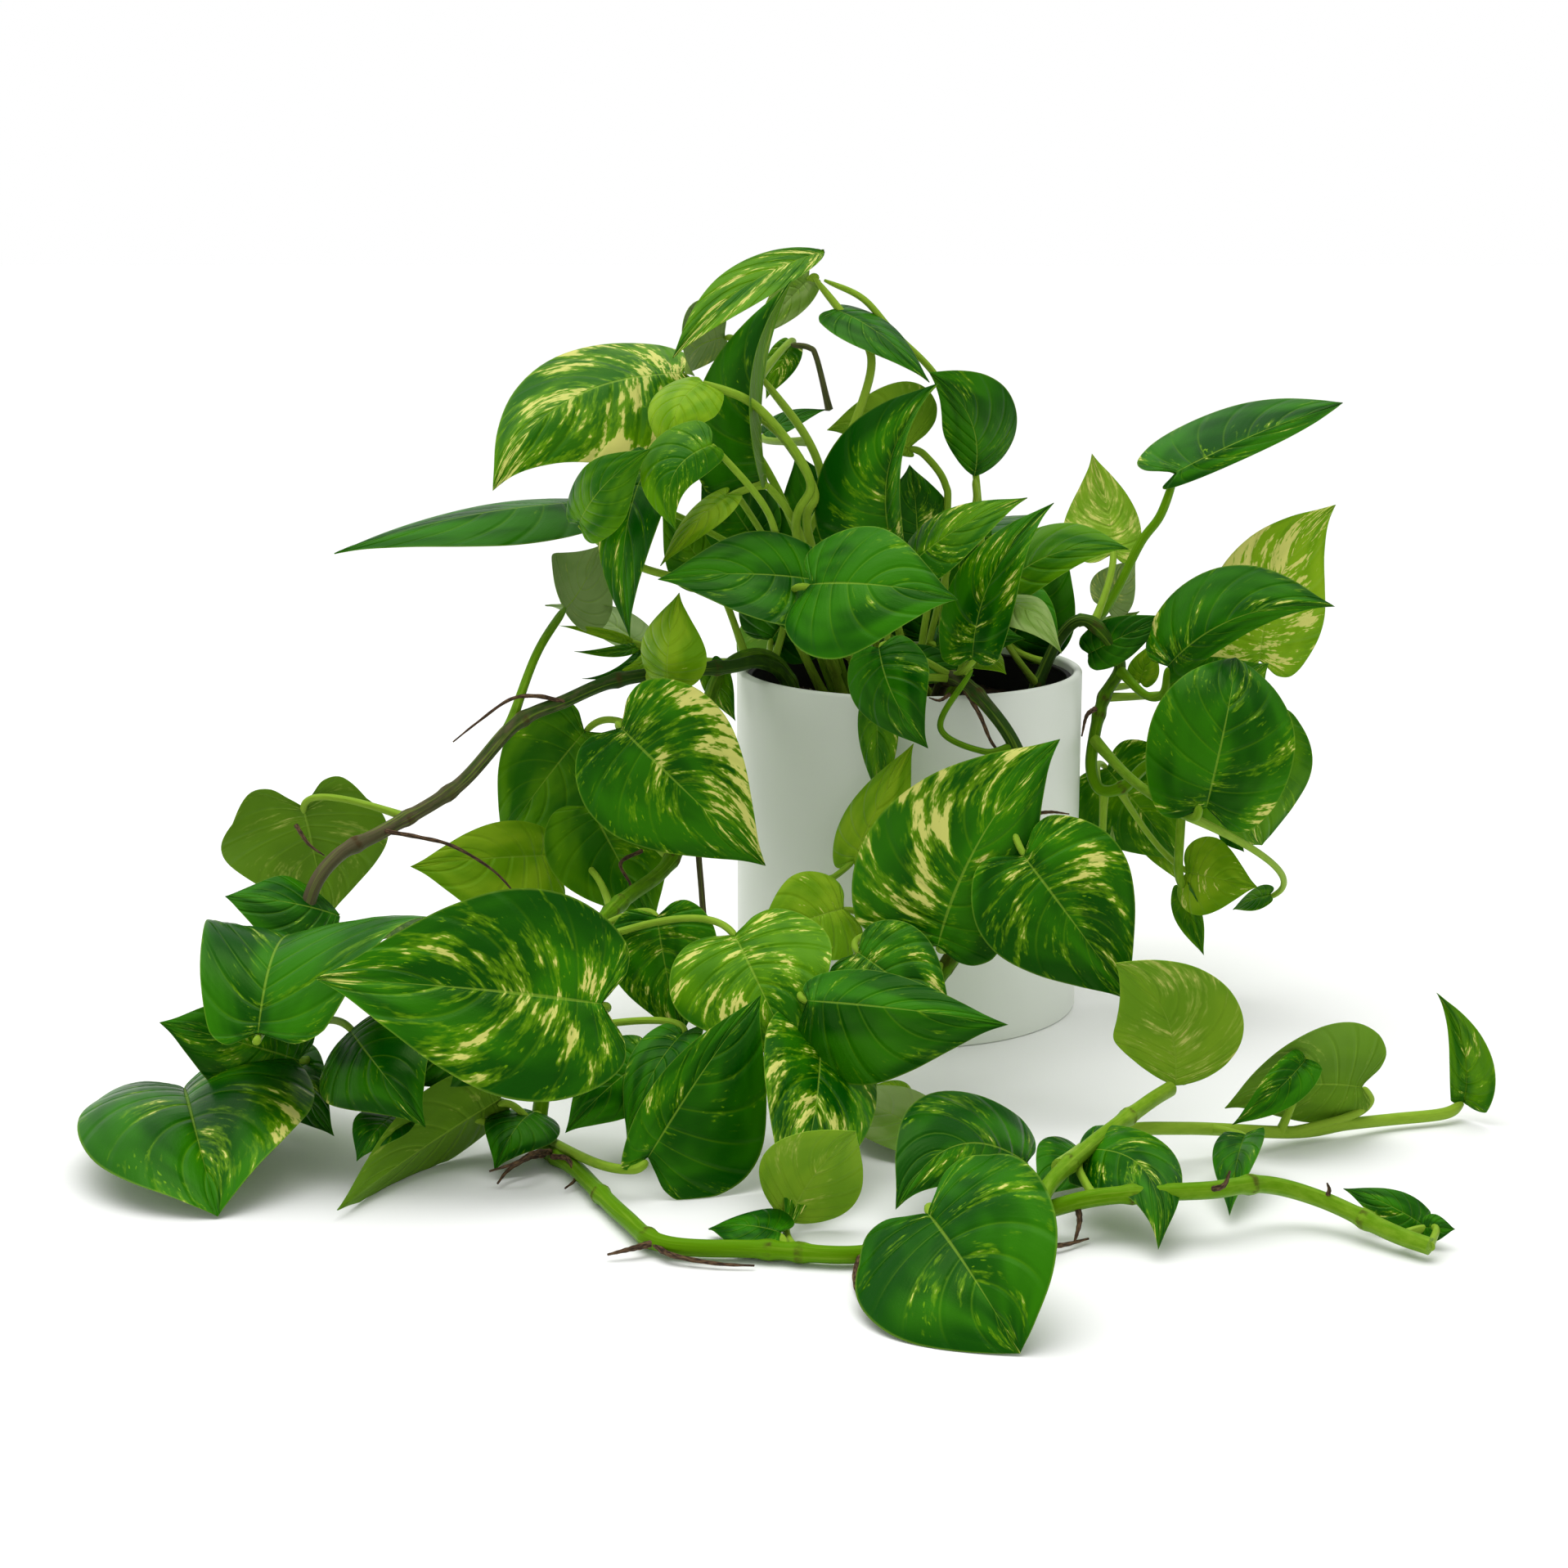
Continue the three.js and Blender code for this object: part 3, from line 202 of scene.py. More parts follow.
# Leaves with a solid of their own: name, base, tip, half widths (left, right) as shares of the outline, way
# the upper side faces, midrib bow (up, sideways, along), rise of each half, edge curl of each half, twist,
# depth of the basal lobes, tone, variegation, and the vine and the share of its length that the petiole
# grows from.
LEAVES: list[tuple[Any, ...]] = [
    ("crown_top", (-35, -5, 305), (-93, -45, 266), (0.3, 0.3), (-0.4, -0.4, 0.8),
     (0.09, 0, 0.02), (-20, 30), (-20, 0), 0, 0.3, "mid", 0.6),
    ("crown_tall", (-58, -55, 220), (-48, -40, 295), (0.8, 0.4), (-0.25, -1, 0.15),
     (0.04, 0.07, 0), (-5, 100), (-25, -20), 20, 0.3, "deep", 0.12),
    ("crown_big_left", (-90, -25, 259), (-159, -75, 219), (0.8, 0.62), (-0.3, -0.85, 0.6),
     (0.1, -0.11, 0.03), (-15, -5), (-25, -15), 0, 0.9, "mid", 0.85),
    ("crown_left_dark", (-101, -62, 230), (-108, -88, 166), (0.46, 0.42), (-0.5, -1, 0.15),
     (0.1, -0.04, 0), (10, 0), (-15, -15), 0, 0.7, "deep", 0.35, "crown_stems", 0.3),
    ("left_long", (-129, -20, 209), (-221, -62, 194), (0.5, 0.5), (-0.05, -0.25, 1),
     (0.04, 0, 0), (-12, -12), (-8, -8), 0, 0.5, "deep", 0.03),
    ("center_wide", (-39, -78, 186), (-97, -98, 189), (0.8, 0.66), (0, -0.75, 0.66),
     (0.06, 0, 0), (6, 6), (-8, -8), 0, 1, "deep", 0.03, "crown_stems", 0.5),
    ("center_heart", (-41, -100, 187), (11, -124, 185), (0.92, 1.1), (0.1, -0.85, 0.55),
     (0.08, 0, 0), (4, 4), (-12, -12), 0, 1.2, "deep", 0.15, "crown_stems", 0.6),
    ("center_upright", (-10, -62, 196), (7, -52, 257), (1.0, 0.5), (-0.35, -1, 0.15),
     (0.05, 0.14, 0), (-4, 60), (-15, -20), 0, 0.5, "deep", 0.4, "crown_stems", 0.7),
    ("crown_right_narrow", (-31, -10, 283), (5, -32, 256), (0.5, 0.5), (0.5, -0.7, 0.5),
     (0.08, 0, 0), (-10, -10), (-10, -10), 0, 0.6, "deep", 0.2),
    ("crown_right_var", (24, -20, 219), (5, -32, 260), (0.55, 1.0), (0.2, -1, 0.3),
     (0.1, -0.13, 0), (-20, 0), (-20, -20), 0, 0.1, "deep", 0.3),
    ("right_stripe_a", (-4, -72, 190), (39, -84, 217), (0.58, 0.58), (-0.25, -0.6, 0.7),
     (0.08, 0, 0), (-5, -5), (-10, -10), 0, 0.6, "mid", 0.5, "crown_stems", 0.8),
    ("right_stripe_b", (20, -78, 156), (51, -62, 213), (0.5, 0.45), (-0.45, -0.9, 0.3),
     (0.06, 0.1, 0), (-5, 15), (-10, -10), 0, 0.4, "deep", 0.5, "vine_front", 0.08),
    ("right_brown_spot", (32, -40, 176), (80, -60, 195), (0.8, 0.45), (0, -0.7, 0.7),
     (0.08, 0.1, 0), (-8, -8), (-12, -12), 0, 1, "mid", 0, "vine_right", 0.08),
    ("right_pale_back", (83, 12, 184), (76, 32, 223), (0.6, 0.9), (-0.1, 0.9, 0.2),
     (0.06, 0.05, 0), (5, 5), (0, 0), 0, 1, "light", 0.75, "vine_right", 0.3),
    ("right_top_long", (108, 15, 217), (183, 55, 242), (0.6, 0.16), (-0.1, -0.75, 0.6),
     (0.04, 0, 0), (-20, -15), (-15, -10), 0, 1.1, "deep", 0.25),
    ("right_upper", (101, -28, 144), (159, -62, 173), (0.85, 0.24), (-0.25, -0.85, 0.5),
     (0.07, 0.1, 0), (-10, -30), (-16, -12), 0, 1, "deep", 0.3),
    ("right_back_light", (147, 28, 137), (180, 48, 200), (0.72, 0.72), (0.2, -0.95, 0.4),
     (0.06, 0.12, 0), (-5, -5), (-5, -5), 0, 1, "light", 0.9, "vine_right", 0.5),
    ("right_round", (112, -62, 95), (126, -34, 149), (0.85, 0.87), (-0.05, -1, 0.3),
     (0.16, 0, 0.04), (4, 4), (-20, -20), 0, 1.3, "deep", 0.35),
    ("right_behind", (138, -22, 124), (144, -20, 70), (0.9, 0.95), (0.15, -1, 0.2),
     (0.1, -0.08, 0), (5, 5), (-15, -15), 0, 1, "mid", 0.3, "vine_right", 0.97),
    ("rim_front_dark", (-15, -76, 160), (3, -94, 125), (0.8, 0.8), (-0.25, -1, 0.15),
     (0.12, -0.05, 0), (-8, -8), (-15, -15), 0, 1, "deep", 0.12, "vine_front", 0.1),
    ("left_hang", (-112, -92, 133), (-58, -112, 85), (0.86, 0.86), (-0.2, -1, 0.35),
     (0.08, 0, 0), (6, 6), (-12, -12), 0, 1, "deep", 0.6, "vine_left_low", 0.22),
    ("back_left_mid", (-130, -25, 118), (-165, -22, 71), (0.85, 0.85), (-0.2, -1, 0.2),
     (0.08, 0, 0), (5, 5), (-10, -10), 0, 1, "mid", 0.2, "vine_left_low", 0.18),
    ("back_left_tip", (-145, -40, 70), (-196, -62, 71), (1.15, 0.55), (-0.1, -0.85, 0.45),
     (0.05, 0, 0), (5, 5), (-10, -10), 0, 1, "light", 0.15, "vine_left_low", 0.3),
    ("back_mid", (-126, -55, 94), (-101, -58, 47), (0.98, 0.98), (0, -1, 0.15),
     (0.05, 0, 0), (5, 5), (-10, -10), 0, 1, "mid", 0.08, "vine_left_low", 0.24),
    ("left_heart", (-230, -98, 104), (-224, -90, 58), (1.45, 1.3), (-0.1, 1, -0.05),
     (0.03, 0, 0), (-5, -5), (0, 0), 0, 2.5, "mid", 0.35, "vine_left_high", 0.62),
    ("left_floor_heart", (-262, -170, 19), (-235, -246, 1.5), (1, 0.88), (-0.05, -0.45, 1),
     (0.1, 0, 0), (30, 26), (-52, -46), 0, 2, "deep", 0.4, "vine_left_high", 0.95),
    ("left_gloss", (-226, -215, 53), (-219, -150, 62), (0.92, 1.38), (-0.1, -0.6, 0.8),
     (0.28, 0, 0), (14, 14), (-10, -10), 0, 1, "deep", 0.3, "vine_left_high", 0.84),
    ("left_low_dark", (-222, -168, 28), (-268, -178, 45), (0.88, 0.88), (-0.2, -0.8, 0.5),
     (0.08, 0, 0), (-8, -8), (-15, -15), 0, 1, "deep", 0.3, "vine_left_high", 0.93),
    ("left_mid_gloss", (-201, -180, 43), (-170, -222, 23), (0.95, 0.85), (-0.25, -0.7, 0.7),
     (0.15, 0, 0), (2, -6), (-38, -30), 0, 0.6, "deep", 0.25, "vine_left_high", 0.9),
    ("front_left_under", (-149, -188, 20), (-196, -247, 2), (0.46, 0.42), (0, 1, 0.25),
     (0.08, -0.05, 0), (15, 15), (0, 0), 0, 0.5, "mid", 0.1, "vine_left_low", 0.43),
    ("front_big", (-112, -205, 60), (-205, -222, 74), (0.8, 0.8), (0, -0.85, 0.6),
     (0.04, 0, 0), (7, 7), (-10, -10), 0, 1, "deep", 0.62, "vine_left_low", 0.37),
    ("mid_left_dark", (-97, -140, 73), (-88, -150, 30), (0.95, 0.95), (-0.2, -1, 0.3),
     (0.06, 0, 0), (5, 5), (-10, -10), 0, 1, "deep", 0.5, "vine_left_low", 0.32),
    ("center_left_var", (-68, -165, 73), (-46, -198, 35), (1.12, 1.12), (-0.05, -0.85, 0.55),
     (0.1, 0, 0), (4, 4), (-15, -15), 0, 1, "mid", 0.6, "vine_left_low", 0.33),
    ("center_var", (-25, -162, 66), (8, -180, 44), (0.95, 0.95), (0.1, -0.85, 0.5),
     (0.06, 0, 0), (5, 5), (-12, -12), 0, 1, "deep", 0.6, "vine_front", 0.45),
    ("center_point", (-43, -195, 58), (23, -222, 58), (0.42, 0.8), (0, -0.9, 0.45),
     (0.08, 0, 0), (-22, -18), (-8, -8), 0, 0.7, "deep", 0.2, "vine_front", 0.48),
    ("front_dark", (-96, -228, 13), (-59, -192, 58), (0.35, 1.0), (0.2, -0.95, 0.3),
     (0.06, 0.03, 0), (8, 4), (-12, -16), 0, 1.2, "deep", 0.25),
    ("center_long_var", (-38, -188, 44), (-50, -264, 2), (0.52, 0.52), (0.35, -0.8, 0.4),
     (0.08, 0, 0), (5, 5), (-10, -10), 0, 0.7, "deep", 0.7, "vine_front", 0.5),
    ("front_light", (-50, -258, 4), (-28, -262, 36), (0.95, 1.1), (-0.1, 1, 0.15),
     (0.14, 0, 0), (5, 5), (-20, -20), 0, 0.1, "light", 0.2, "vine_left_low", 0.6),
    ("front_right_big", (4, -147, 64), (48, -129, 136), (1.02, 0.6), (-0.3, -0.9, 0.35),
     (0.06, 0.06, 0), (-5, -15), (-10, -10), 0, 0.5, "deep", 0.527, "vine_front", 0.46),
    ("front_right_heart", (34, -150, 98), (71, -168, 50), (0.95, 0.95), (-0.15, -0.95, 0.4),
     (0.08, 0, 0), (5, 5), (-12, -12), 0, 1.2, "deep", 0.55, "vine_front", 0.3),
    ("right_under_up", (84, -190, 26), (62, -190, 70), (1.3, 0.9), (0.2, 1, 0.2),
     (0.16, 0.12, 0), (-8, -8), (-15, -25), 0, 0.1, "light", 0.45),
    ("right_under_leaf", (153, -170, 19), (103, -182, 15), (1.15, 0.62), (-0.05, 1, 0.25),
     (0.06, 0.05, 0), (-5, -5), (-10, -10), 0, 1, "mid", 0.2),
    ("far_right_tip", (195, -150, 6), (185, -142, 45), (0.3, 0.62), (-0.6, -0.8, 0.1),
     (0, -0.12, 0), (25, 15), (0, 0), 0, 0.2, "mid", 0.4),
    ("curled_stripe", (46, -236, 18), (66, -284, 3), (0.6, 0.6), (0.15, -0.8, 0.6),
     (0.15, 0.18, 0), (-5, -5), (-25, -25), 30, 0.3, "deep", 0.4),
    ("front_lobed", (-7, -302, 25), (17, -350, 1.5), (1.05, 1.05), (-0.05, -0.8, 0.6),
     (0.1, 0, 0), (25, 0), (-15, -15), 0, 1.9, "deep", 0.3, "vine_left_low", 0.68),
    ("behind_front", (30, -228, 12), (-15, -262, 9), (0.7, 0.95), (-0.1, -0.8, 0.6),
     (0.12, -0.2, 0), (-8, -8), (-15, -15), 0, 1, "deep", 0.35, "vine_front", 0.68),
    ("back_hang_left", (-34, 68, 152), (-52, 104, 86), (0.86, 0.86), (-0.2, 1, 0.3),
     (0.1, 0, 0), (6, 6), (-12, -12), 0, 1, "deep", 0.4, "crown_stems", 0.4),
    ("back_hang_right", (32, 68, 152), (40, 104, 80), (0.86, 0.86), (0.2, 1, 0.3),
     (0.1, 0, 0), (6, 6), (-12, -12), 0, 1, "deep", 0.3, "crown_stems", 0.8),
    ("back_crown_left", (-30, 26, 196), (-72, 78, 196), (0.84, 0.84), (-0.1, 0.3, 1),
     (0.1, 0, 0), (6, 6), (-12, -12), 0, 1, "deep", 0.2, "crown_stems", 0.35),
    ("back_crown_right", (20, 30, 190), (56, 84, 184), (0.84, 0.84), (0.1, 0.3, 1),
     (0.1, 0, 0), (6, 6), (-12, -12), 0, 1, "deep", 0.4, "crown_stems", 0.65),
    ("back_crown_mid", (-8, 36, 176), (-14, 98, 158), (0.86, 0.86), (0, 0.4, 1),
     (0.12, 0, 0), (6, 6), (-12, -12), 0, 1, "mid", 0.3, "crown_stems", 0.5),
    ("back_low_left", (-22, 102, 60), (-50, 112, 10), (0.9, 0.9), (-0.3, 1, 0.3),
     (0.08, 0, 0), (6, 6), (-10, -10), 0, 1, "deep", 0.3, "vine_back", 0.6),
]

# Smaller and hidden leaves, in the same form.
SMALL_LEAVES: list[tuple[Any, ...]] = [
    ("crown_curl", (-74, -15, 273), (-85, -40, 259), (1.2, 0.8), (-0.6, 0.9, 0.5),
     (0.25, 0, 0), (20, 20), (-20, -30), 0, 0.6, "pale", 0.3),
    ("crown_back_strip", (-41, 8, 294), (-63, 12, 270), (0.5, 0.5), (-0.3, -1, 0.2),
     (0.05, 0, 0), (5, 5), (0, 0), 0, 1, "pale", 0.4),
    ("crown_lime", (-81, -60, 258), (-91, -80, 230), (0.8, 0.95), (-0.35, -1, 0.4),
     (0.16, -0.1, 0), (-10, -10), (-25, -25), 0, 1, "light", 0.02),
    ("crown_small_var", (-77, -85, 237), (-90, -98, 207), (0.55, 1.0), (-0.3, -1, 0.3),
     (0.12, -0.22, 0), (-5, -5), (-15, -15), 0, 0.8, "mid", 0.45),
    ("left_mid", (-127, -78, 207), (-99, -90, 236), (0.75, 0.7), (-0.35, -0.9, 0.35),
     (0.12, 0.02, 0), (-5, -15), (-30, -50), 0, 1.3, "mid", 0.05),
    ("left_pale", (-137, -30, 168), (-124, -5, 190), (1.15, 1.15), (-0.2, 1, 0.3),
     (0.1, 0.1, 0), (10, 10), (-20, -20), 0, 0.2, "pale", 0.05),
    ("left_sliver", (-109, 10, 147), (-146, -15, 167), (0.6, 0.6), (0.1, 0.5, 0.8),
     (0.1, 0, 0), (0, 0), (0, 0), 0, 1, "pale", 0.1),
    ("rim_left_light", (-95, -76, 148), (-90, -76, 181), (0.95, 0.95), (-0.4, -1, 0.2),
     (0.1, 0, 0), (-15, -15), (-15, -15), 0, 1, "light", 0.1),
    ("crown_back_lime", (-1, -8, 229), (-34, -22, 237), (1.45, 0.3), (-0.1, 1, 0.3),
     (0.05, 0.05, 0), (5, 5), (-15, -15), 0, 1, "light", 0.1),
    ("crown_right_dark", (2, -15, 189), (-1, -5, 222), (1.0, 1.0), (0.25, -1, 0.3),
     (0.1, 0, 0), (5, 5), (-10, -10), 0, 1, "deep", 0.5),
    ("right_pale_low", (81, 12, 163), (94, 22, 181), (0.9, 0.9), (0, 0.9, 0.2),
     (0.06, 0, 0), (5, 5), (0, 0), 0, 1, "pale", 0.4),
    ("right_mid_back", (114, -5, 118), (146, 0, 141), (1.1, 1.1), (0, -1, 0.3),
     (0.06, 0, 0), (5, 5), (-10, -10), 0, 1, "mid", 0.35),
    ("right_low_var", (84, 20, 93), (116, 18, 53), (0.95, 0.95), (0.2, -1, 0.1),
     (0.06, 0, 0), (5, 5), (-10, -10), 0, 1, "mid", 0.5),
    ("right_low_strip", (101, 25, 71), (116, 20, 44), (0.6, 0.6), (0.3, -1, 0.1),
     (0.06, 0, 0), (5, 5), (-10, -10), 0, 1, "light", 0.6),
    ("right_grey_tip", (83, 0, 49), (85, 5, 72), (0.35, 0.35), (0.5, -1, 0.1),
     (0.03, 0, 0), (5, 5), (0, 0), 0, 1, "pale", 0),
    ("right_small", (114, -10, 56), (141, -22, 53), (1.15, 1.15), (0, -1, 0.25),
     (0.1, 0, 0), (5, 5), (-15, -15), 0, 1, "light", 0.4),
    ("right_drop", (113, -10, 49), (121, -18, 23), (0.5, 0.5), (-0.5, -1, 0.1),
     (0.06, 0, 0), (15, 15), (10, 10), 40, 1, "mid", 0.3),
    ("right_under", (148, -12, 47), (135, -2, 38), (0.7, 0.7), (0, -0.6, 0.8),
     (0.06, 0, 0), (0, 0), (0, 0), 0, 1, "mid", 0.1),
    ("right_bud_dark", (130, -5, 73), (137, -12, 65), (0.7, 0.7), (0, -1, 0.1),
     (0.06, 0, 0), (0, 0), (0, 0), 0, 1, "deep", 0.1),
    ("rim_right_grey", (29, -62, 176), (53, -82, 159), (0.65, 0.65), (0.1, -0.6, 0.8),
     (0.2, 0, 0), (-8, -8), (-10, -10), 0, 1, "pale", 0),
    ("right_grey_back", (75, 18, 144), (95, 15, 160), (0.75, 0.75), (0, -0.5, 0.9),
     (0.06, 0, 0), (0, 0), (0, 0), 0, 1, "pale", 0),
    ("right_yellow_peek", (95, 8, 132), (100, 10, 148), (0.8, 0.8), (0, -1, 0.2),
     (0.06, 0, 0), (0, 0), (0, 0), 0, 1, "light", 0.3),
    ("rim_hang_var", (-16, -76, 140), (-14, -80, 100), (0.42, 0.42), (-0.3, -1, 0.05),
     (0.02, 0, 0), (-10, -10), (-10, -10), 0, 1, "mid", 0.5),
    ("rim_inside_dark", (-7, -50, 149), (22, -62, 147), (0.62, 0.62), (0.1, -0.8, 0.6),
     (0.06, 0, 0), (5, 5), (0, 0), 0, 1, "deep", 0),
    ("rim_bright_curl", (23, -64, 155), (33, -76, 150), (0.8, 0.8), (0, -0.6, 0.8),
     (0.1, 0, 0), (0, 0), (-20, -20), 0, 1, "light", 0.3),
    ("left_rim_hang", (-80, -25, 145), (-70, -30, 123), (0.55, 0.55), (-0.3, -1, 0),
     (0.06, 0, 0), (0, 0), (0, 0), 0, 1, "mid", 0.4),
    ("left_behind_top", (-212, -132, 71), (-250, -146, 82), (1.0, 0.9), (-0.1, -0.6, 0.8),
     (0.12, 0.05, 0), (-10, -10), (-14, -14), 0, 0.1, "deep", 0.05),
    ("left_inner_dark", (-229, -150, 22), (-208, -182, 5), (0.6, 0.6), (-0.3, -1, 0.4),
     (0.06, 0, 0), (0, 0), (0, 0), 0, 1, "deep", 0.3),
    ("left_under_dark", (-183, -205, 21), (-193, -225, 12), (0.9, 0.9), (-0.3, -0.8, 0.6),
     (0.1, 0, 0), (0, 0), (0, 0), 0, 1, "deep", 0.1),
    ("under_big", (-98, -185, 35), (-126, -195, 11), (0.8, 0.8), (-0.2, -0.8, 0.5),
     (0.1, 0, 0), (0, 0), (-10, -10), 0, 1, "deep", 0.1),
    ("mid_left_narrow", (-86, -180, 42), (-104, -208, 12), (0.55, 0.55), (-0.6, -0.8, 0.3),
     (0.1, 0, 0), (10, 10), (0, 0), 0, 1, "deep", 0.1),
    ("dark_under", (-138, -185, 15), (-149, -210, 3), (0.95, 0.95), (-0.1, -0.7, 0.7),
     (0.15, 0, 0), (-5, -5), (-20, -20), 0, 1, "deep", 0.02),
    ("center_light", (-29, -122, 71), (-62, -140, 64), (1.0, 1.0), (0, -0.85, 0.55),
     (0.06, 0, 0), (5, 5), (-12, -12), 0, 1, "light", 0.3),
    ("floor_dark", (-52, -272, 6), (-75, -261, 2.5), (0.95, 0.95), (0, -0.25, 1),
     (0.08, 0, 0), (0, 0), (-10, -10), 0, 1, "deep", 0),
    ("floor_mid", (-2, -189, 8), (-38, -140, 3), (0.5, 0.5), (0, -0.5, 0.9),
     (0.1, 0, 0), (0, 0), (0, 0), 0, 1, "pale", 0.1),
    ("floor_small", (-6, -135, 4), (-17, -130, 6), (0.8, 0.8), (0, -0.5, 0.9),
     (0.1, 0, 0), (0, 0), (0, 0), 0, 1, "light", 0.3),
    ("on_pot_light", (-25, -100, 83), (-2, -84, 125), (0.58, 0.58), (-0.5, -0.9, 0.2),
     (0.06, 0, 0), (-15, -15), (-10, -10), 0, 1, "light", 0.1),
    ("right_fold_dark", (106, -205, 14), (93, -253, 4), (0.36, 0.36), (-0.4, -1, 0.3),
     (0.05, 0, 0), (15, 15), (0, 0), 0, 0.2, "deep", 0.2),
    ("end_leaf_a", (154, -262, 4), (130, -250, 12), (0.55, 0.55), (0.1, -0.8, 0.6),
     (0.12, 0, 0), (-10, -10), (-10, -10), 0, 0.3, "deep", 0.2),
    ("end_leaf_b", (152, -268, 6), (161, -272, 7), (1.0, 1.0), (0, -0.8, 0.6),
     (0.06, 0, 0), (-5, -5), (-10, -10), 0, 1, "deep", 0.05),
    ("dark_behind", (50, -212, 10), (32, -238, 4), (0.8, 0.8), (-0.2, -0.8, 0.5),
     (0.1, 0, 0), (0, 0), (0, 0), 0, 1, "deep", 0.05),
    ("back_dark_a", (-59, 10, 233), (-34, 5, 243), (0.5, 0.5), (0, -0.6, 0.8),
     (0.06, 0, 0), (0, 0), (0, 0), 0, 1, "deep", 0),
    ("back_var_a", (-48, 12, 268), (-58, 8, 247), (0.6, 0.6), (-0.3, -0.9, 0.2),
     (0.06, 0, 0), (0, 0), (0, 0), 0, 1, "mid", 0.5),
    ("inner_pale", (-72, -60, 216), (-97, -76, 191), (0.42, 0.42), (-0.4, -0.7, 0.6),
     (0.06, 0, 0), (-10, -10), (0, 0), 0, 1, "light", 0.05),
    ("inner_dark_a", (-96, -30, 234), (-116, -38, 223), (0.8, 0.8), (-0.3, -0.8, 0.5),
     (0.06, 0, 0), (0, 0), (-10, -10), 0, 1, "deep", 0),
    ("crown_fill_c", (-30, 14, 178), (-46, 10, 226), (0.85, 0.85), (0, -1, 0.2),
     (0.08, 0, 0), (0, 0), (-10, -10), 0, 1, "deep", 0.1, "crown_stems", 0.3),
    ("crown_fill_d", (-50, 14, 166), (-74, 6, 205), (0.8, 0.8), (0, -1, 0.3),
     (0.08, 0, 0), (0, 0), (-10, -10), 0, 1, "deep", 0.1, "crown_stems", 0.2),
    ("crown_fill_e", (-56, 16, 148), (-28, 18, 188), (0.9, 0.9), (0, -1, 0.3),
     (0.08, 0, 0), (0, 0), (-10, -10), 0, 1, "deep", 0.0, "crown_stems", 0.1),
    ("crown_fill_f", (8, 24, 146), (34, 20, 196), (0.95, 0.95), (0, -1, 0.3),
     (0.08, 0, 0), (0, 0), (-10, -10), 0, 1, "deep", 0.1, "crown_stems", 0.8),
    ("crown_fill_g", (42, 20, 146), (64, 12, 190), (0.9, 0.9), (0, -1, 0.3),
     (0.08, 0, 0), (0, 0), (-10, -10), 0, 1, "deep", 0.0, "crown_stems", 0.95),
    ("right_inner_dark", (33, -14, 169), (58, -24, 150), (0.95, 0.3), (0, -0.7, 0.7),
     (0.1, 0.05, 0), (10, 0), (-20, -10), 0, 0.6, "deep", 0.05, "crown_stems", 0.9),
    ("under_big_fill", (-149, -183, 51), (-184, -196, 28), (0.9, 0.9), (0, -1, 0.3),
     (0.1, 0, 0), (5, 5), (-12, -12), 0, 1, "deep", 0.2, "vine_left_low", 0.43),
    ("crown_fill_h", (-62, 2, 190), (-84, -6, 224), (0.8, 0.8), (0, -1, 0.2),
     (0.08, 0, 0), (0, 0), (-10, -10), 0, 1, "deep", 0.1, "crown_stems", 0.15),
    ("crown_fill_i", (-80, 4, 176), (-100, -2, 204), (0.8, 0.8), (0, -1, 0.2),
     (0.08, 0, 0), (0, 0), (-10, -10), 0, 1, "mid", 0.2, "crown_stems", 0.1),
    ("right_dark_wedge", (72, -6, 146), (104, -8, 162), (0.55, 0.55), (0, -1, 0.4),
     (0.08, 0, 0), (0, 0), (-10, -10), 0, 0.6, "deep", 0),
    ("right_fold_top", (130, -184, 34), (104, -190, 12), (0.5, 0.4), (-0.5, -1, 0.2),
     (0.1, 0.05, 0), (10, 10), (-10, -10), 0, 0.3, "deep", 0.3),
    ("crown_fill_a", (-34, -24, 170), (-78, -30, 182), (0.8, 0.8), (-0.1, -0.8, 0.6),
     (0.1, 0, 0), (0, 0), (-12, -12), 0, 0.8, "deep", 0.1),
    ("crown_fill_b", (10, -12, 150), (44, -30, 156), (0.8, 0.8), (0.1, -0.8, 0.6),
     (0.1, 0, 0), (0, 0), (-12, -12), 0, 0.8, "deep", 0.1),
    ("back_low_right", (18, 100, 52), (44, 112, 6), (0.86, 0.86), (0.3, 1, 0.3),
     (0.08, 0, 0), (6, 6), (-10, -10), 0, 1, "mid", 0.5),
    ("torn_a", (-112, -14, 152), (-140, -22, 160), (0.16, 0.16), (0, -1, 0.5),
     (0.1, 0, 0), (0, 0), (0, 0), 0, 0.3, "light", 0.1),
    ("torn_b", (-110, -14, 150), (-134, -24, 150), (0.2, 0.2), (0, -1, 0.5),
     (0.15, 0.1, 0), (0, 0), (0, 0), 0, 0.3, "mid", 0.1),
    ("torn_c", (-108, -14, 148), (-131, -24, 139), (0.2, 0.2), (0, -1, 0.5),
     (0.2, 0.2, 0), (0, 0), (0, 0), 0, 0.3, "deep", 0.1),
    ("torn_d", (-104, -14, 148), (-121, -24, 141), (0.3, 0.3), (0, -1, 0.5),
     (0.2, 0.2, 0), (0, 0), (0, 0), 0, 0.3, "light", 0.1),
]

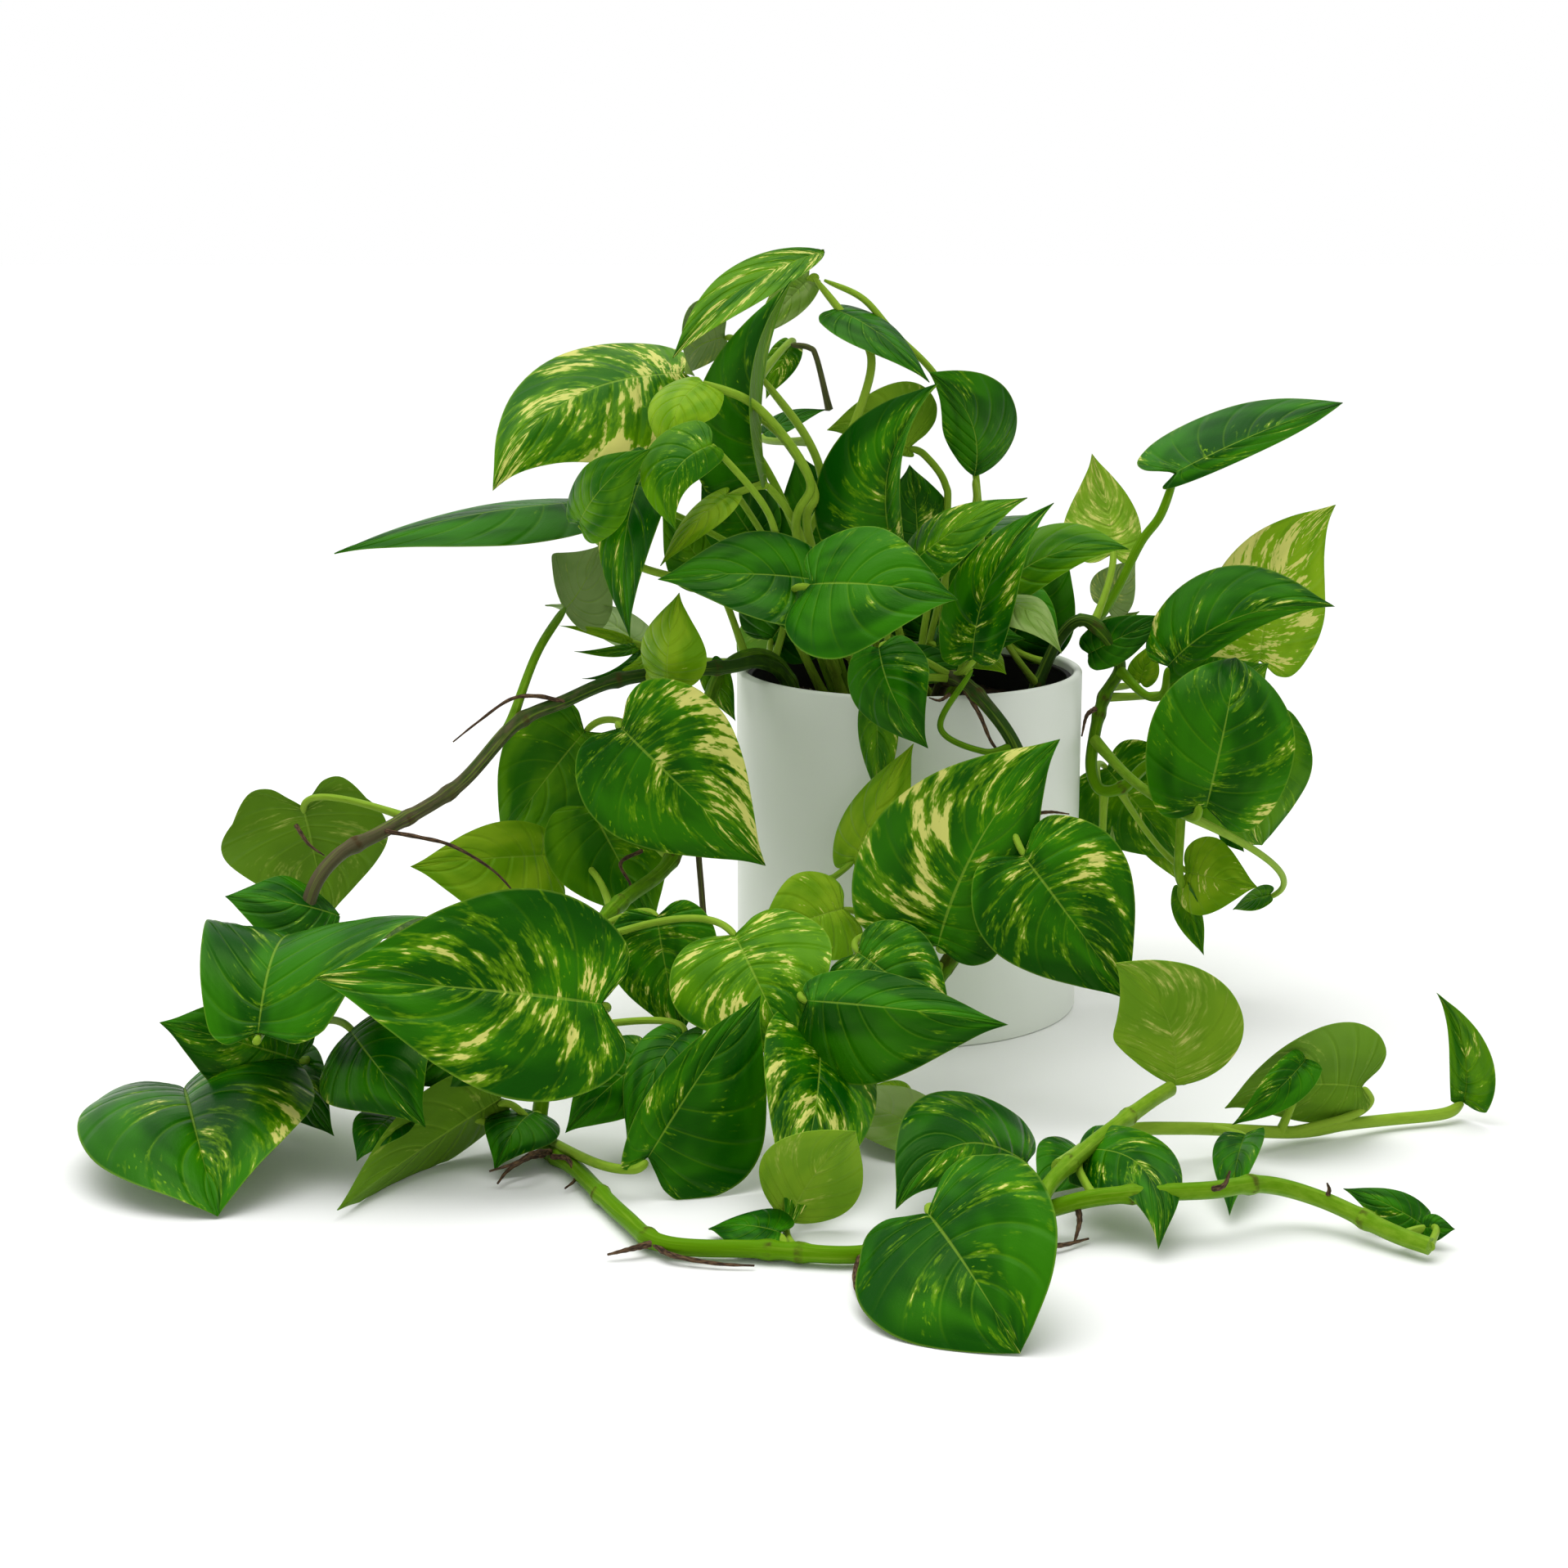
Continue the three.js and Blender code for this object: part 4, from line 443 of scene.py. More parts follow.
# Aerial roots: radius at the start and the centre line.
ROOTS: list[tuple[float, Route]] = [
    (0.9, [(-134, -74, 139), (-144, -78, 142), (-154, -80, 141), (-166, -84, 133), (-175, -86, 126)]),
    (0.9, [(-197, -117, 99), (-184, -122, 98), (-171, -124, 95), (-156, -126, 86), (-146, -126, 74)]),
    (0.8, [(-228, -124, 103), (-223, -128, 97), (-217, -130, 93)]),
    (1.2, [(-92, -276, 4), (-98, -279, 3.5), (-106, -281, 2.2)]),
    (1.0, [(-92, -276, 4), (-86, -283, 3), (-72, -287, 1.8), (-60, -288, 1.5)]),
    (1.1, [(-133, -200, 5), (-138, -206, 6), (-144, -212, 4), (-147, -219, 1.8)]),
    (1.1, [(-131, -200, 6), (-136, -210, 9), (-141, -216, 8), (-150, -216, 5)]),
    (1.0, [(-130, -202, 5), (-124, -210, 7), (-121, -217, 3), (-124, -223, 1.6)]),
    (1.1, [(-27, -286, 4), (-29, -298, 2.4), (-28, -312, 1.6), (-23, -330, 1.4)]),
    (1.1, [(83, -264, 17), (88, -268, 20), (90, -268, 25)]),
    (0.9, [(123, -255, 10), (124, -257, 14), (123, -258, 17)]),
    (1.2, [(42, -263, 13), (43, -267, 8), (41, -271, 1.8)]),
    (1.1, [(27, -276, 4), (36, -274, 2.4), (46, -267, 1.8)]),
    (1.0, [(30, -266, 12), (33, -272, 7), (30, -278, 1.8)]),
    (1.0, [(18, -72, 143), (23, -79, 135), (28, -80, 124), (35, -79, 117)]),
    (0.8, [(12, -74, 142), (8, -76, 140), (4, -76, 141)]),
    (0.8, [(43, -85, 98), (50, -86, 99), (57, -85, 98)]),
    (1.1, [(75, -9, 124), (71, -14, 122), (69, -16, 114)]),
    (0.8, [(-104, -94, 86), (-112, -98, 82), (-108, -102, 74), (-112, -104, 68)]),
]


def linear(red: int, green: int, blue: int) -> Colour:
    """Linear colour from display values of 0 to 255.

    Args:
        red: Display value of red.
        green: Display value of green.
        blue: Display value of blue.

    Returns:
        Red, green, blue and full cover, each from 0 to 1.
    """
    share = np.array([red, green, blue]) / 255
    low, high = share / 12.92, ((share + 0.055) / 1.055) ** 2.4
    return (*np.where(share <= 0.04045, low, high).tolist(), 1.0)


def unit(vectors: Array) -> Array:
    """Vectors divided by their lengths."""
    return vectors / np.maximum(np.linalg.norm(vectors, axis=-1, keepdims=True), 1e-12)


def spline(points: Any, share: Array) -> Array:
    """Catmull-Rom curve through the points, each stretch taking an equal part of the share 0 to 1.

    Args:
        points: The points the curve runs through.
        share: Where to read the curve.

    Returns:
        One point for each share: half of 2b + (c-a)f + (2a-5b+4c-d)f^2 + (3b-a-3c+d)f^3.
    """
    given = np.asarray(points, float)
    padded = np.vstack([2 * given[0] - given[1], given, 2 * given[-1] - given[-2]])
    place = np.clip(np.asarray(share) * (len(given) - 1), 0, len(given) - 1 - 1e-9)
    first = place.astype(int)
    f = (place - first)[..., None]
    a, b, c, d = (padded[first + k] for k in range(4))
    return 0.5 * (2 * b + (c - a) * f + (2 * a - 5 * b + 4 * c - d) * f**2 + (3 * b - a - 3 * c + d) * f**3)


def bend(start: Array, knee: Array, end: Array, share: Array) -> Array:
    """Quadratic curve from start to end: (1-s)^2 start + 2s(1-s) knee + s^2 end."""
    s = share[..., None]
    return (1 - s) ** 2 * start + 2 * s * (1 - s) * knee + s * s * end


@dataclass
class Surface:
    """Points in millimetres, faces, and the attributes its finish reads.

    The faces are arrays of corner numbers, each array with faces of one size.
    """

    points: Array
    faces: list[Array]
    attributes: dict[str, Array] = field(default_factory=dict)

    def outward(self) -> "Surface":
        """The same closed surface with its faces pointing outwards, by the sign of its volume.

        Returns:
            This surface, its faces turned over if its volume came out negative.
        """
        total = 0.0
        for block in self.faces:
            a = self.points[block[:, 0]]
            for k in range(1, block.shape[1] - 1):
                b, c = self.points[block[:, k]], self.points[block[:, k + 1]]
                total += float((a * np.cross(b, c)).sum())
        if total < 0:
            self.faces = [block[:, ::-1] for block in self.faces]
        return self


def joined(parts: list[Surface]) -> Surface:
    """Several surfaces as one, each keeping its own points.

    Args:
        parts: The surfaces, all with the same attributes.

    Returns:
        One surface.
    """
    starts = np.cumsum([0] + [len(part.points) for part in parts])
    faces = [block + start for part, start in zip(parts, starts) for block in part.faces]
    names = parts[0].attributes
    values = {name: np.concatenate([part.attributes[name] for part in parts]) for name in names}
    return Surface(np.concatenate([part.points for part in parts]), faces, values)


def grid_faces(index: Array) -> Array:
    """Quads between neighbouring entries of a grid of corner numbers."""
    corners = [index[:-1, :-1], index[1:, :-1], index[1:, 1:], index[:-1, 1:]]
    return np.stack([corner.ravel() for corner in corners], axis=1)


def capped(around: Array, pole: int) -> list[Array]:
    """Faces of stacked closed rings, each end of the stack closed by a fan.

    Args:
        around: Corner numbers, one row for each ring, its first corner repeated at its end.
        pole: Corner number of the middle of the first ring's fan. The last ring's is the next number.

    Returns:
        Quads between the rings, then the two fans.
    """
    fans = []
    for row, corner in ((around[0], pole), (around[-1][::-1], pole + 1)):
        fans.append(np.stack([row[1:], row[:-1], np.full(len(row) - 1, corner)], axis=1))
    return [grid_faces(around), *fans]


def wrapped(count: int, sides: int) -> Array:
    """Corner numbers of so many points in rings, each ring's first corner repeated at its end."""
    index = np.arange(count).reshape(-1, sides)
    return np.hstack([index, index[:, :1]])


def plate_faces(rows: int, wide: int) -> list[Array]:
    """Faces of two sheets joined all round, each a grid whose first and last row are one point.

    Those two points come first in each sheet, and the rows between them follow.

    Args:
        rows: Rows of each grid, its end points counted.
        wide: Points in a row.

    Returns:
        Quads and triangles of the first sheet, of the second turned over, and of the rim between them.
    """
    count = 2 + (rows - 2) * wide
    index = np.zeros((rows, wide), int)
    index[-1] = 1
    index[1:-1] = 2 + np.arange(count - 2).reshape(rows - 2, wide)
    faces = []
    for start, order in ((0, slice(None)), (count, slice(None, None, -1))):
        faces.append((grid_faces(index[1:-1]) + start)[:, order])
        for row, pole, flip in ((index[1], 0, 1), (index[-2], 1, -1)):
            fan = np.stack([np.full(wide - 1, pole), row[:-1], row[1:]], axis=1)[:, ::flip]
            faces.append((fan + start)[:, order])
    for edge, flip in ((index[:, 0], 1), (index[:, -1], -1)):
        rim = np.stack([edge[:-1], edge[:-1] + count, edge[1:] + count, edge[1:]], axis=1)
        faces.append(rim[:, ::flip])
    return faces


def run_along(centre: Array) -> Array:
    """Distance along a centre line at each of its points."""
    return np.concatenate([[0], np.cumsum(np.linalg.norm(np.diff(centre, axis=0), axis=1))])


def carried_sides(directions: Array) -> Array:
    """A side direction for each ring, carried along the centre line so that it doesn't spin.

    Each one is the one before with its part along the new direction taken off.

    Args:
        directions: The way the centre line runs at each ring.

    Returns:
        One direction for each ring, square to the centre line.
    """
    axis = np.eye(3)[np.abs(directions[0]).argmin()]
    sides = np.empty_like(directions)
    for k, direction in enumerate(directions):
        axis = unit(axis - (axis @ direction) * direction)
        sides[k] = axis
    return sides


def tube(centre: Array, radius: Array, sides: int, traits: Array) -> Surface:
    """A stem round a centre line, closed at both ends by a point.

    Args:
        centre: One point for each ring.
        radius: The radius of each ring, or of each ring and side.
        sides: How many points a ring has.
        traits: Three values for each ring, for the finish.

    Returns:
        Points centre + radius * (cos(angle) * side + sin(angle) * other side), with the ring's turn and its
        distance along the stem as the attribute stem_place.
    """
    ahead = unit(np.gradient(centre, axis=0))
    side = carried_sides(ahead)
    other = np.cross(ahead, side)
    angle = np.linspace(0, 2 * np.pi, sides, endpoint=False)
    ring = np.cos(angle)[:, None] * side[:, None] + np.sin(angle)[:, None] * other[:, None]
    size = np.broadcast_to(np.asarray(radius).reshape(len(centre), -1), (len(centre), sides))
    body = centre[:, None] + size[..., None] * ring
    ends = centre[[0, -1]] + ahead[[0, -1]] * size[[0, -1]].mean(axis=1)[:, None] * [[-0.3], [0.3]]
    points = np.vstack([body.reshape(-1, 3), ends])
    faces = capped(wrapped(len(centre) * sides, sides), len(points) - 2)
    run = run_along(centre)
    place = np.stack(np.broadcast_arrays(np.cos(angle), np.sin(angle), run[:, None]), axis=-1)
    place = np.vstack([place.reshape(-1, 3), [[0, 0, 0], [0, 0, run[-1]]]])
    trait = np.vstack([np.repeat(traits, sides, axis=0), traits[[0, -1]]])
    return Surface(points, faces, {"stem_place": place, "stem_trait": trait}).outward()


def lathe(profile: Array, sides: int) -> Surface:
    """A profile of (radius, height) turned about the z axis, its first and last points on the axis.

    Args:
        profile: The points, from the middle of the underside out and round to the middle of the top.
        sides: How many points a ring has.

    Returns:
        A closed surface.
    """
    angle = np.linspace(0, 2 * np.pi, sides, endpoint=False)
    ring = profile[1:-1]
    x, y = ring[:, :1] * np.cos(angle), ring[:, :1] * np.sin(angle)
    body = np.stack([x, y, np.broadcast_to(ring[:, 1:], x.shape)], axis=-1).reshape(-1, 3)
    poles = np.array([[0, 0, profile[0, 1]], [0, 0, profile[-1, 1]]])
    return Surface(np.vstack([body, poles]), capped(wrapped(len(body), sides), len(body))).outward()


def placed(name: str, data: Any) -> bpy.types.Object:
    """A new object of this mesh, lamp or camera, in the scene.

    Args:
        name: Its name.
        data: The mesh, lamp or camera.

    Returns:
        The object, at the origin.
    """
    thing = bpy.data.objects.new(name, data)
    bpy.context.scene.collection.objects.link(thing)
    return thing


def put_piece(name: str, surface: Surface, finish: bpy.types.Material,
              nodes: tuple[str, ...] = (), crease: float = 50.0) -> bpy.types.Object:
    """Makes a mesh object of a surface, dresses it and ties it to the frame.

    Args:
        name: The piece's name.
        surface: Its shape in millimetres.
        finish: The material it wears.
        nodes: The solids that it stands for.
        crease: Edges sharper than this many degrees stay sharp.

    Returns:
        The object, at the origin, with its place in its mesh.
    """
    mesh = bpy.data.meshes.new(name)
    faces = [face for block in surface.faces for face in block.tolist()]
    points = surface.points * MM
    points[:, 2] = np.maximum(points[:, 2], 0.0)  # nothing dips below what the pot stands on
    mesh.from_pydata(points.tolist(), [], faces)
    for label, values in surface.attributes.items():
        layer = mesh.attributes.new(label, "FLOAT_VECTOR", "POINT")
        layer.data.foreach_set("vector", np.ascontiguousarray(values, np.float32).ravel())
    mesh.polygons.foreach_set("use_smooth", np.ones(len(mesh.polygons), bool))
    mesh.set_sharp_from_angle(angle=np.radians(crease))
    mesh.materials.append(finish)
    mesh.update()
    piece = placed(name, mesh)
    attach(piece, BODY)
    if nodes:
        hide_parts(*nodes)
    LOG.info("%s: %d faces", name, len(faces))
    return piece


class Reading:
    """A number socket on which +, -, * and / add Math nodes."""

    def __init__(self, shade: "Shade", socket: Any) -> None:
        """Wraps a socket of the given node tree."""
        self.shade, self.socket = shade, socket

    def _math(self, operation: str, *values: Any) -> "Reading":
        """The result of a Math node on these values."""
        return self.shade.node("ShaderNodeMath", dict(enumerate(values)), operation=operation)

    def __add__(self, other: Any) -> "Reading":
        """Sum."""
        return self._math("ADD", self, other)

    def __sub__(self, other: Any) -> "Reading":
        """Difference."""
        return self._math("SUBTRACT", self, other)

    def __rsub__(self, other: Any) -> "Reading":
        """Difference from a number."""
        return self._math("SUBTRACT", other, self)

    def __mul__(self, other: Any) -> "Reading":
        """Product."""
        return self._math("MULTIPLY", self, other)

    __radd__, __rmul__ = __add__, __mul__

    def size(self) -> "Reading":
        """The value without its sign."""
        return self._math("ABSOLUTE", self)

    def sine(self) -> "Reading":
        """Sine of the value in radians."""
        return self._math("SINE", self)

    def most(self, other: Any) -> "Reading":
        """The larger of two values."""
        return self._math("MAXIMUM", self, other)

    def step(self, low: Any, high: Any) -> "Reading":
        """A smooth step from 0 at low to 1 at high, or the other way round where low is above high."""
        return self.shade.node("ShaderNodeMapRange", {0: self, 1: low, 2: high},
                               interpolation_type="SMOOTHSTEP")


class Shade:
    """A material's node tree with one Principled shader."""

    def __init__(self, name: str) -> None:
        """Makes a material of that name.

        Args:
            name: The material's name.
        """
        self.material = bpy.data.materials.new(name)
        self.material.use_nodes = True
        self.tree = self.material.node_tree
        self.shader = self.tree.nodes["Principled BSDF"]

    def node(self, kind: str, inputs: dict[Any, Any], output: int = 0, **settings: Any) -> Reading:
        """Adds a node.

        Args:
            kind: The node's type.
            inputs: Values, links or readings for its sockets, by name or number.
            output: Which of its outputs is wanted.
            **settings: Its own settings, set before its sockets.

        Returns:
            That output.
        """
        made = self.tree.nodes.new(kind)
        for label, value in settings.items():
            setattr(made, label, value)
        for socket, value in inputs.items():
            if isinstance(value, Reading):
                self.tree.links.new(value.socket, made.inputs[socket])
            else:
                made.inputs[socket].default_value = value
        return Reading(self, made.outputs[output])

    def split(self, vector: Reading) -> tuple[Reading, Reading, Reading]:
        """The three numbers of a vector.

        Args:
            vector: A reading that holds a vector.

        Returns:
            Its x, y and z.
        """
        first = self.node("ShaderNodeSeparateXYZ", {0: vector})
        outputs = first.socket.node.outputs
        return first, Reading(self, outputs[1]), Reading(self, outputs[2])

    def attribute(self, name: str) -> tuple[Reading, Reading, Reading]:
        """The three numbers of a mesh attribute."""
        return self.split(self.node("ShaderNodeAttribute", {}, 1, attribute_name=name))

    def vector(self, x: Any, y: Any, z: Any) -> Reading:
        """A vector of three numbers."""
        return self.node("ShaderNodeCombineXYZ", {0: x, 1: y, 2: z})

    def noise(self, place: Reading, detail: float = 2.0, scale: float = 1.0) -> Reading:
        """Soft noise at a place, from 0 to 1."""
        return self.node("ShaderNodeTexNoise", {"Vector": place, "Scale": scale, "Detail": detail})

    def mix(self, share: Any, first: Any, second: Any) -> Reading:
        """A colour between two others."""
        return self.node("ShaderNodeMix", {0: share, 6: first, 7: second}, 2, data_type="RGBA")

    def bump(self, height: Reading, strength: float, distance: float) -> Reading:
        """A normal for a height pattern."""
        return self.node("ShaderNodeBump", {"Height": height, "Strength": strength, "Distance": distance})

    def own_place(self) -> Reading:
        """The surface's place in its object."""
        return self.node("ShaderNodeTexCoord", {}, 3)

    def dress(self, **sockets: Any) -> bpy.types.Material:
        """Links or sets the shader's sockets.

        Args:
            **sockets: A reading or a value for each socket, named with underscores for spaces.

        Returns:
            The finished material.
        """
        for label, value in sockets.items():
            socket = self.shader.inputs[label.replace("_", " ")]
            if isinstance(value, Reading):
                self.tree.links.new(value.socket, socket)
            else:
                socket.default_value = value
        return self.material


@dataclass(frozen=True)
class LeafFinish:
    """Satin leaf with side veins, a pale midrib and cream variegation along the veins."""

    name: str
    dark: Colour
    bright: Colour
    under: Colour
    under_share: float = 0.6
    cream: Colour = linear(222, 218, 120)
    lime: Colour = linear(124, 172, 10)
    rib: Colour = linear(138, 174, 52)
    streak_grain: tuple[float, float] = (40, 2.2)  # along and across the leaf
    patch_grain: tuple[float, float] = (8.0, 1.7)
    speck_grain: tuple[float, float] = (95, 12)

    def place(self, shade: Shade, swept: Reading, across: Reading, grain: tuple[float, float],
              seed: Reading) -> Reading:
        """Where a grain of noise is read, stretched along the side veins."""
        return shade.vector(swept * grain[0], across * grain[1], seed)

    def material(self) -> bpy.types.Material:
        """Builds the material from the leaf_place and leaf_trait attributes.

        Returns:
            The material, for one tone of leaf.
        """
        shade = Shade(self.name)
        along, across, under = shade.attribute("leaf_place")
        variegation, seed, lean = shade.attribute("leaf_trait")
        out = across.size()
        swept = along - out * VEIN_SWEEP
        broad = shade.noise(shade.vector(along * 2.6, across * 1.5, seed * 9.1), 2)
        colour = shade.mix(broad.step(0.36, 0.66), self.dark, self.bright)
        crease = (swept * (SIDE_VEINS * np.pi)).sine().size()
        vein = crease.step(0.2, 0.0) * out.step(1.0, 0.4)
        colour = shade.mix(vein * 0.16, colour, self.lime)
        streaks = shade.noise(self.place(shade, swept, across, self.streak_grain, seed * 11.3), 5)
        patches = shade.noise(self.place(shade, swept, across, self.patch_grain, seed * 5.7 + 40), 2)
        specks = shade.noise(self.place(shade, swept, across, self.speck_grain, seed * 3.1), 2)
        cover = streaks * 1.05 + patches * 1.15 + specks * 0.5 + lean * across * 0.24
        limit = 1.82 - variegation * 0.47
        tinted = cover.step(limit - 0.22, limit + 0.02)
        marked = cover.step(limit - 0.02, limit + 0.09)
        flecks = specks.step(0.64, 0.7) * patches.step(0.66 - variegation * 0.4, 0.72 - variegation * 0.3)
        colour = shade.mix((tinted * 0.5).most(flecks * 0.7), colour, self.lime)
        colour = shade.mix(marked * (0.5 + broad * 0.8), colour, self.cream)
        line = out.step(0.03 - along * 0.02, 0.012 - along * 0.008)
        colour = shade.mix(line * 0.5, colour, self.rib)
        edge = out.step(0.97, 0.995)
        colour = shade.mix(edge * 0.3, colour, self.rib)
        below = shade.mix((tinted * 0.4).most(marked * 0.6), self.under, self.cream)
        below = shade.mix(vein * 0.55 + line * 0.8, below, self.rib)
        colour = shade.mix(under * self.under_share, colour, below)
        fine = shade.noise(shade.vector(along * 90, across * 60, seed), 2)
        height = crease.step(0.0, 0.55) * 0.9 + streaks * 0.45 + fine * 0.12 - line * 0.5
        rough = 0.27 + broad * 0.1 + under * 0.22
        return shade.dress(Base_Color=colour, Roughness=rough, Normal=shade.bump(height, 0.5, 0.0007),
                           Specular_Tint=SHEEN, Specular_IOR_Level=0.36)


@dataclass(frozen=True)
class StemFinish:
    """Stem bark from fresh pale green through dark green to grey-brown, with pale ridges and corky nodes."""

    name: str = "stem_bark"
    fresh: Colour = linear(140, 174, 50)
    green: Colour = linear(88, 136, 2)
    dark: Colour = linear(38, 66, 20)
    bark: Colour = linear(92, 82, 62)
    scar: Colour = linear(72, 52, 30)

    def material(self) -> bpy.types.Material:
        """Builds the material from the stem_place and stem_trait attributes.

        Returns:
            The material, for every stem and petiole.
        """
        shade = Shade(self.name)
        turn, other, run = shade.attribute("stem_place")
        age, node, seed = shade.attribute("stem_trait")
        stripes = shade.noise(shade.vector(turn * 3.2, other * 3.2 + seed, run * 0.03), 3)
        blotch = shade.noise(shade.vector(turn * 1.5, other * 1.5, run * 0.22 + seed), 3)
        years = age + (blotch - 0.5) * 0.3
        colour = shade.mix(years.step(0.0, 0.35), self.fresh, self.green)
        colour = shade.mix(years.step(0.4, 0.72), colour, self.dark)
        colour = shade.mix(years.step(0.76, 0.96), colour, self.bark)
        colour = shade.mix(stripes.step(0.52, 0.68) * 0.35, colour, self.fresh)
        corky = node.step(0.55, 1.0) * blotch.step(0.4, 0.62)
        colour = shade.mix(corky * 0.75, colour, self.scar)
        height = stripes * 0.8 + blotch * 0.4
        rough = 0.42 + corky * 0.3 + age * 0.15
        return shade.dress(Base_Color=colour, Roughness=rough, Normal=shade.bump(height, 0.5, 0.0007),
                           Specular_IOR_Level=0.22, Specular_Tint=SHEEN)


@dataclass(frozen=True)
class RootFinish:
    """Dry brown aerial root, darker towards its tip."""

    name: str = "root_skin"
    dark: Colour = linear(44, 30, 20)
    light: Colour = linear(112, 86, 58)

    def material(self) -> bpy.types.Material:
        """Builds the material from the stem_place attribute.

        Returns:
            The material, for the aerial roots.
        """
        shade = Shade(self.name)
        turn, other, run = shade.attribute("stem_place")
        grain = shade.noise(shade.vector(turn * 2, other * 2, run * 0.5), 4)
        colour = shade.mix(grain.step(0.35, 0.7), self.dark, self.light)
        return shade.dress(Base_Color=colour, Roughness=0.75, Normal=shade.bump(grain, 0.6, 0.0005),
                           Specular_IOR_Level=0.3)


@dataclass(frozen=True)
class MouldedFinish:
    """Satin moulded wall with a barely visible orange-peel skin."""

    name: str
    colour: Colour
    shadow: Colour
    roughness: float

    def material(self) -> bpy.types.Material:
        """Builds the material on object coordinates.

        Returns:
            The material, for one moulded wall.
        """
        shade = Shade(self.name)
        place = shade.own_place()
        skin = shade.noise(place, 3, 900.0)
        cloud = shade.noise(place, 2, 14.0)
        colour = shade.mix(cloud.step(0.3, 0.75) * 0.5, self.colour, self.shadow)
        rough = self.roughness + (skin - 0.5) * 0.08
        return shade.dress(Base_Color=colour, Roughness=rough, Normal=shade.bump(skin, 0.05, 0.0003),
                           Specular_IOR_Level=0.4)


@dataclass(frozen=True)
class MixFinish:
    """Peaty potting mix with fibres and pale grains, its browns darkened near to black: partly the peat's own
    colour, partly painted shade for the shade inside the pot.
    """

    name: str = "peat_mix"
    # dark and brown are the peat's own browns, pushed towards black as painted shade for the shaded inside of
    # the pot.
    dark: Colour = linear(10, 8, 6)
    brown: Colour = linear(48, 34, 24)
    grain: Colour = linear(188, 180, 164)

    def material(self) -> bpy.types.Material:
        """Builds the material on object coordinates.

        Returns:
            The material, for the bed.
        """
        shade = Shade(self.name)
        place = shade.own_place()
        crumbs = shade.noise(place, 5, 260.0)
        grains = shade.node("ShaderNodeTexVoronoi", {"Vector": place, "Scale": 190.0})
        colour = shade.mix(crumbs.step(0.4, 0.66), self.dark, self.brown)
        colour = shade.mix(grains.step(0.2, 0.14) * crumbs.step(0.5, 0.56), colour, self.grain)
        return shade.dress(Base_Color=colour, Roughness=0.95, Normal=shade.bump(crumbs, 0.9, 0.002),
                           Specular_IOR_Level=0.15)


LEAF_FINISHES = {
    Tone.DEEP: LeafFinish("leaf_deep", linear(2, 68, 0), linear(42, 113, 0), linear(100, 140, 30)),
    Tone.MID: LeafFinish("leaf_mid", linear(28, 92, 0), linear(80, 134, 0), linear(110, 146, 34)),
    Tone.LIGHT: LeafFinish("leaf_light", linear(98, 146, 6), linear(136, 174, 26), linear(122, 162, 42), 0.5),
    Tone.PALE: LeafFinish("leaf_pale", linear(104, 140, 48), linear(140, 166, 92), linear(134, 158, 98), 0.6),
}


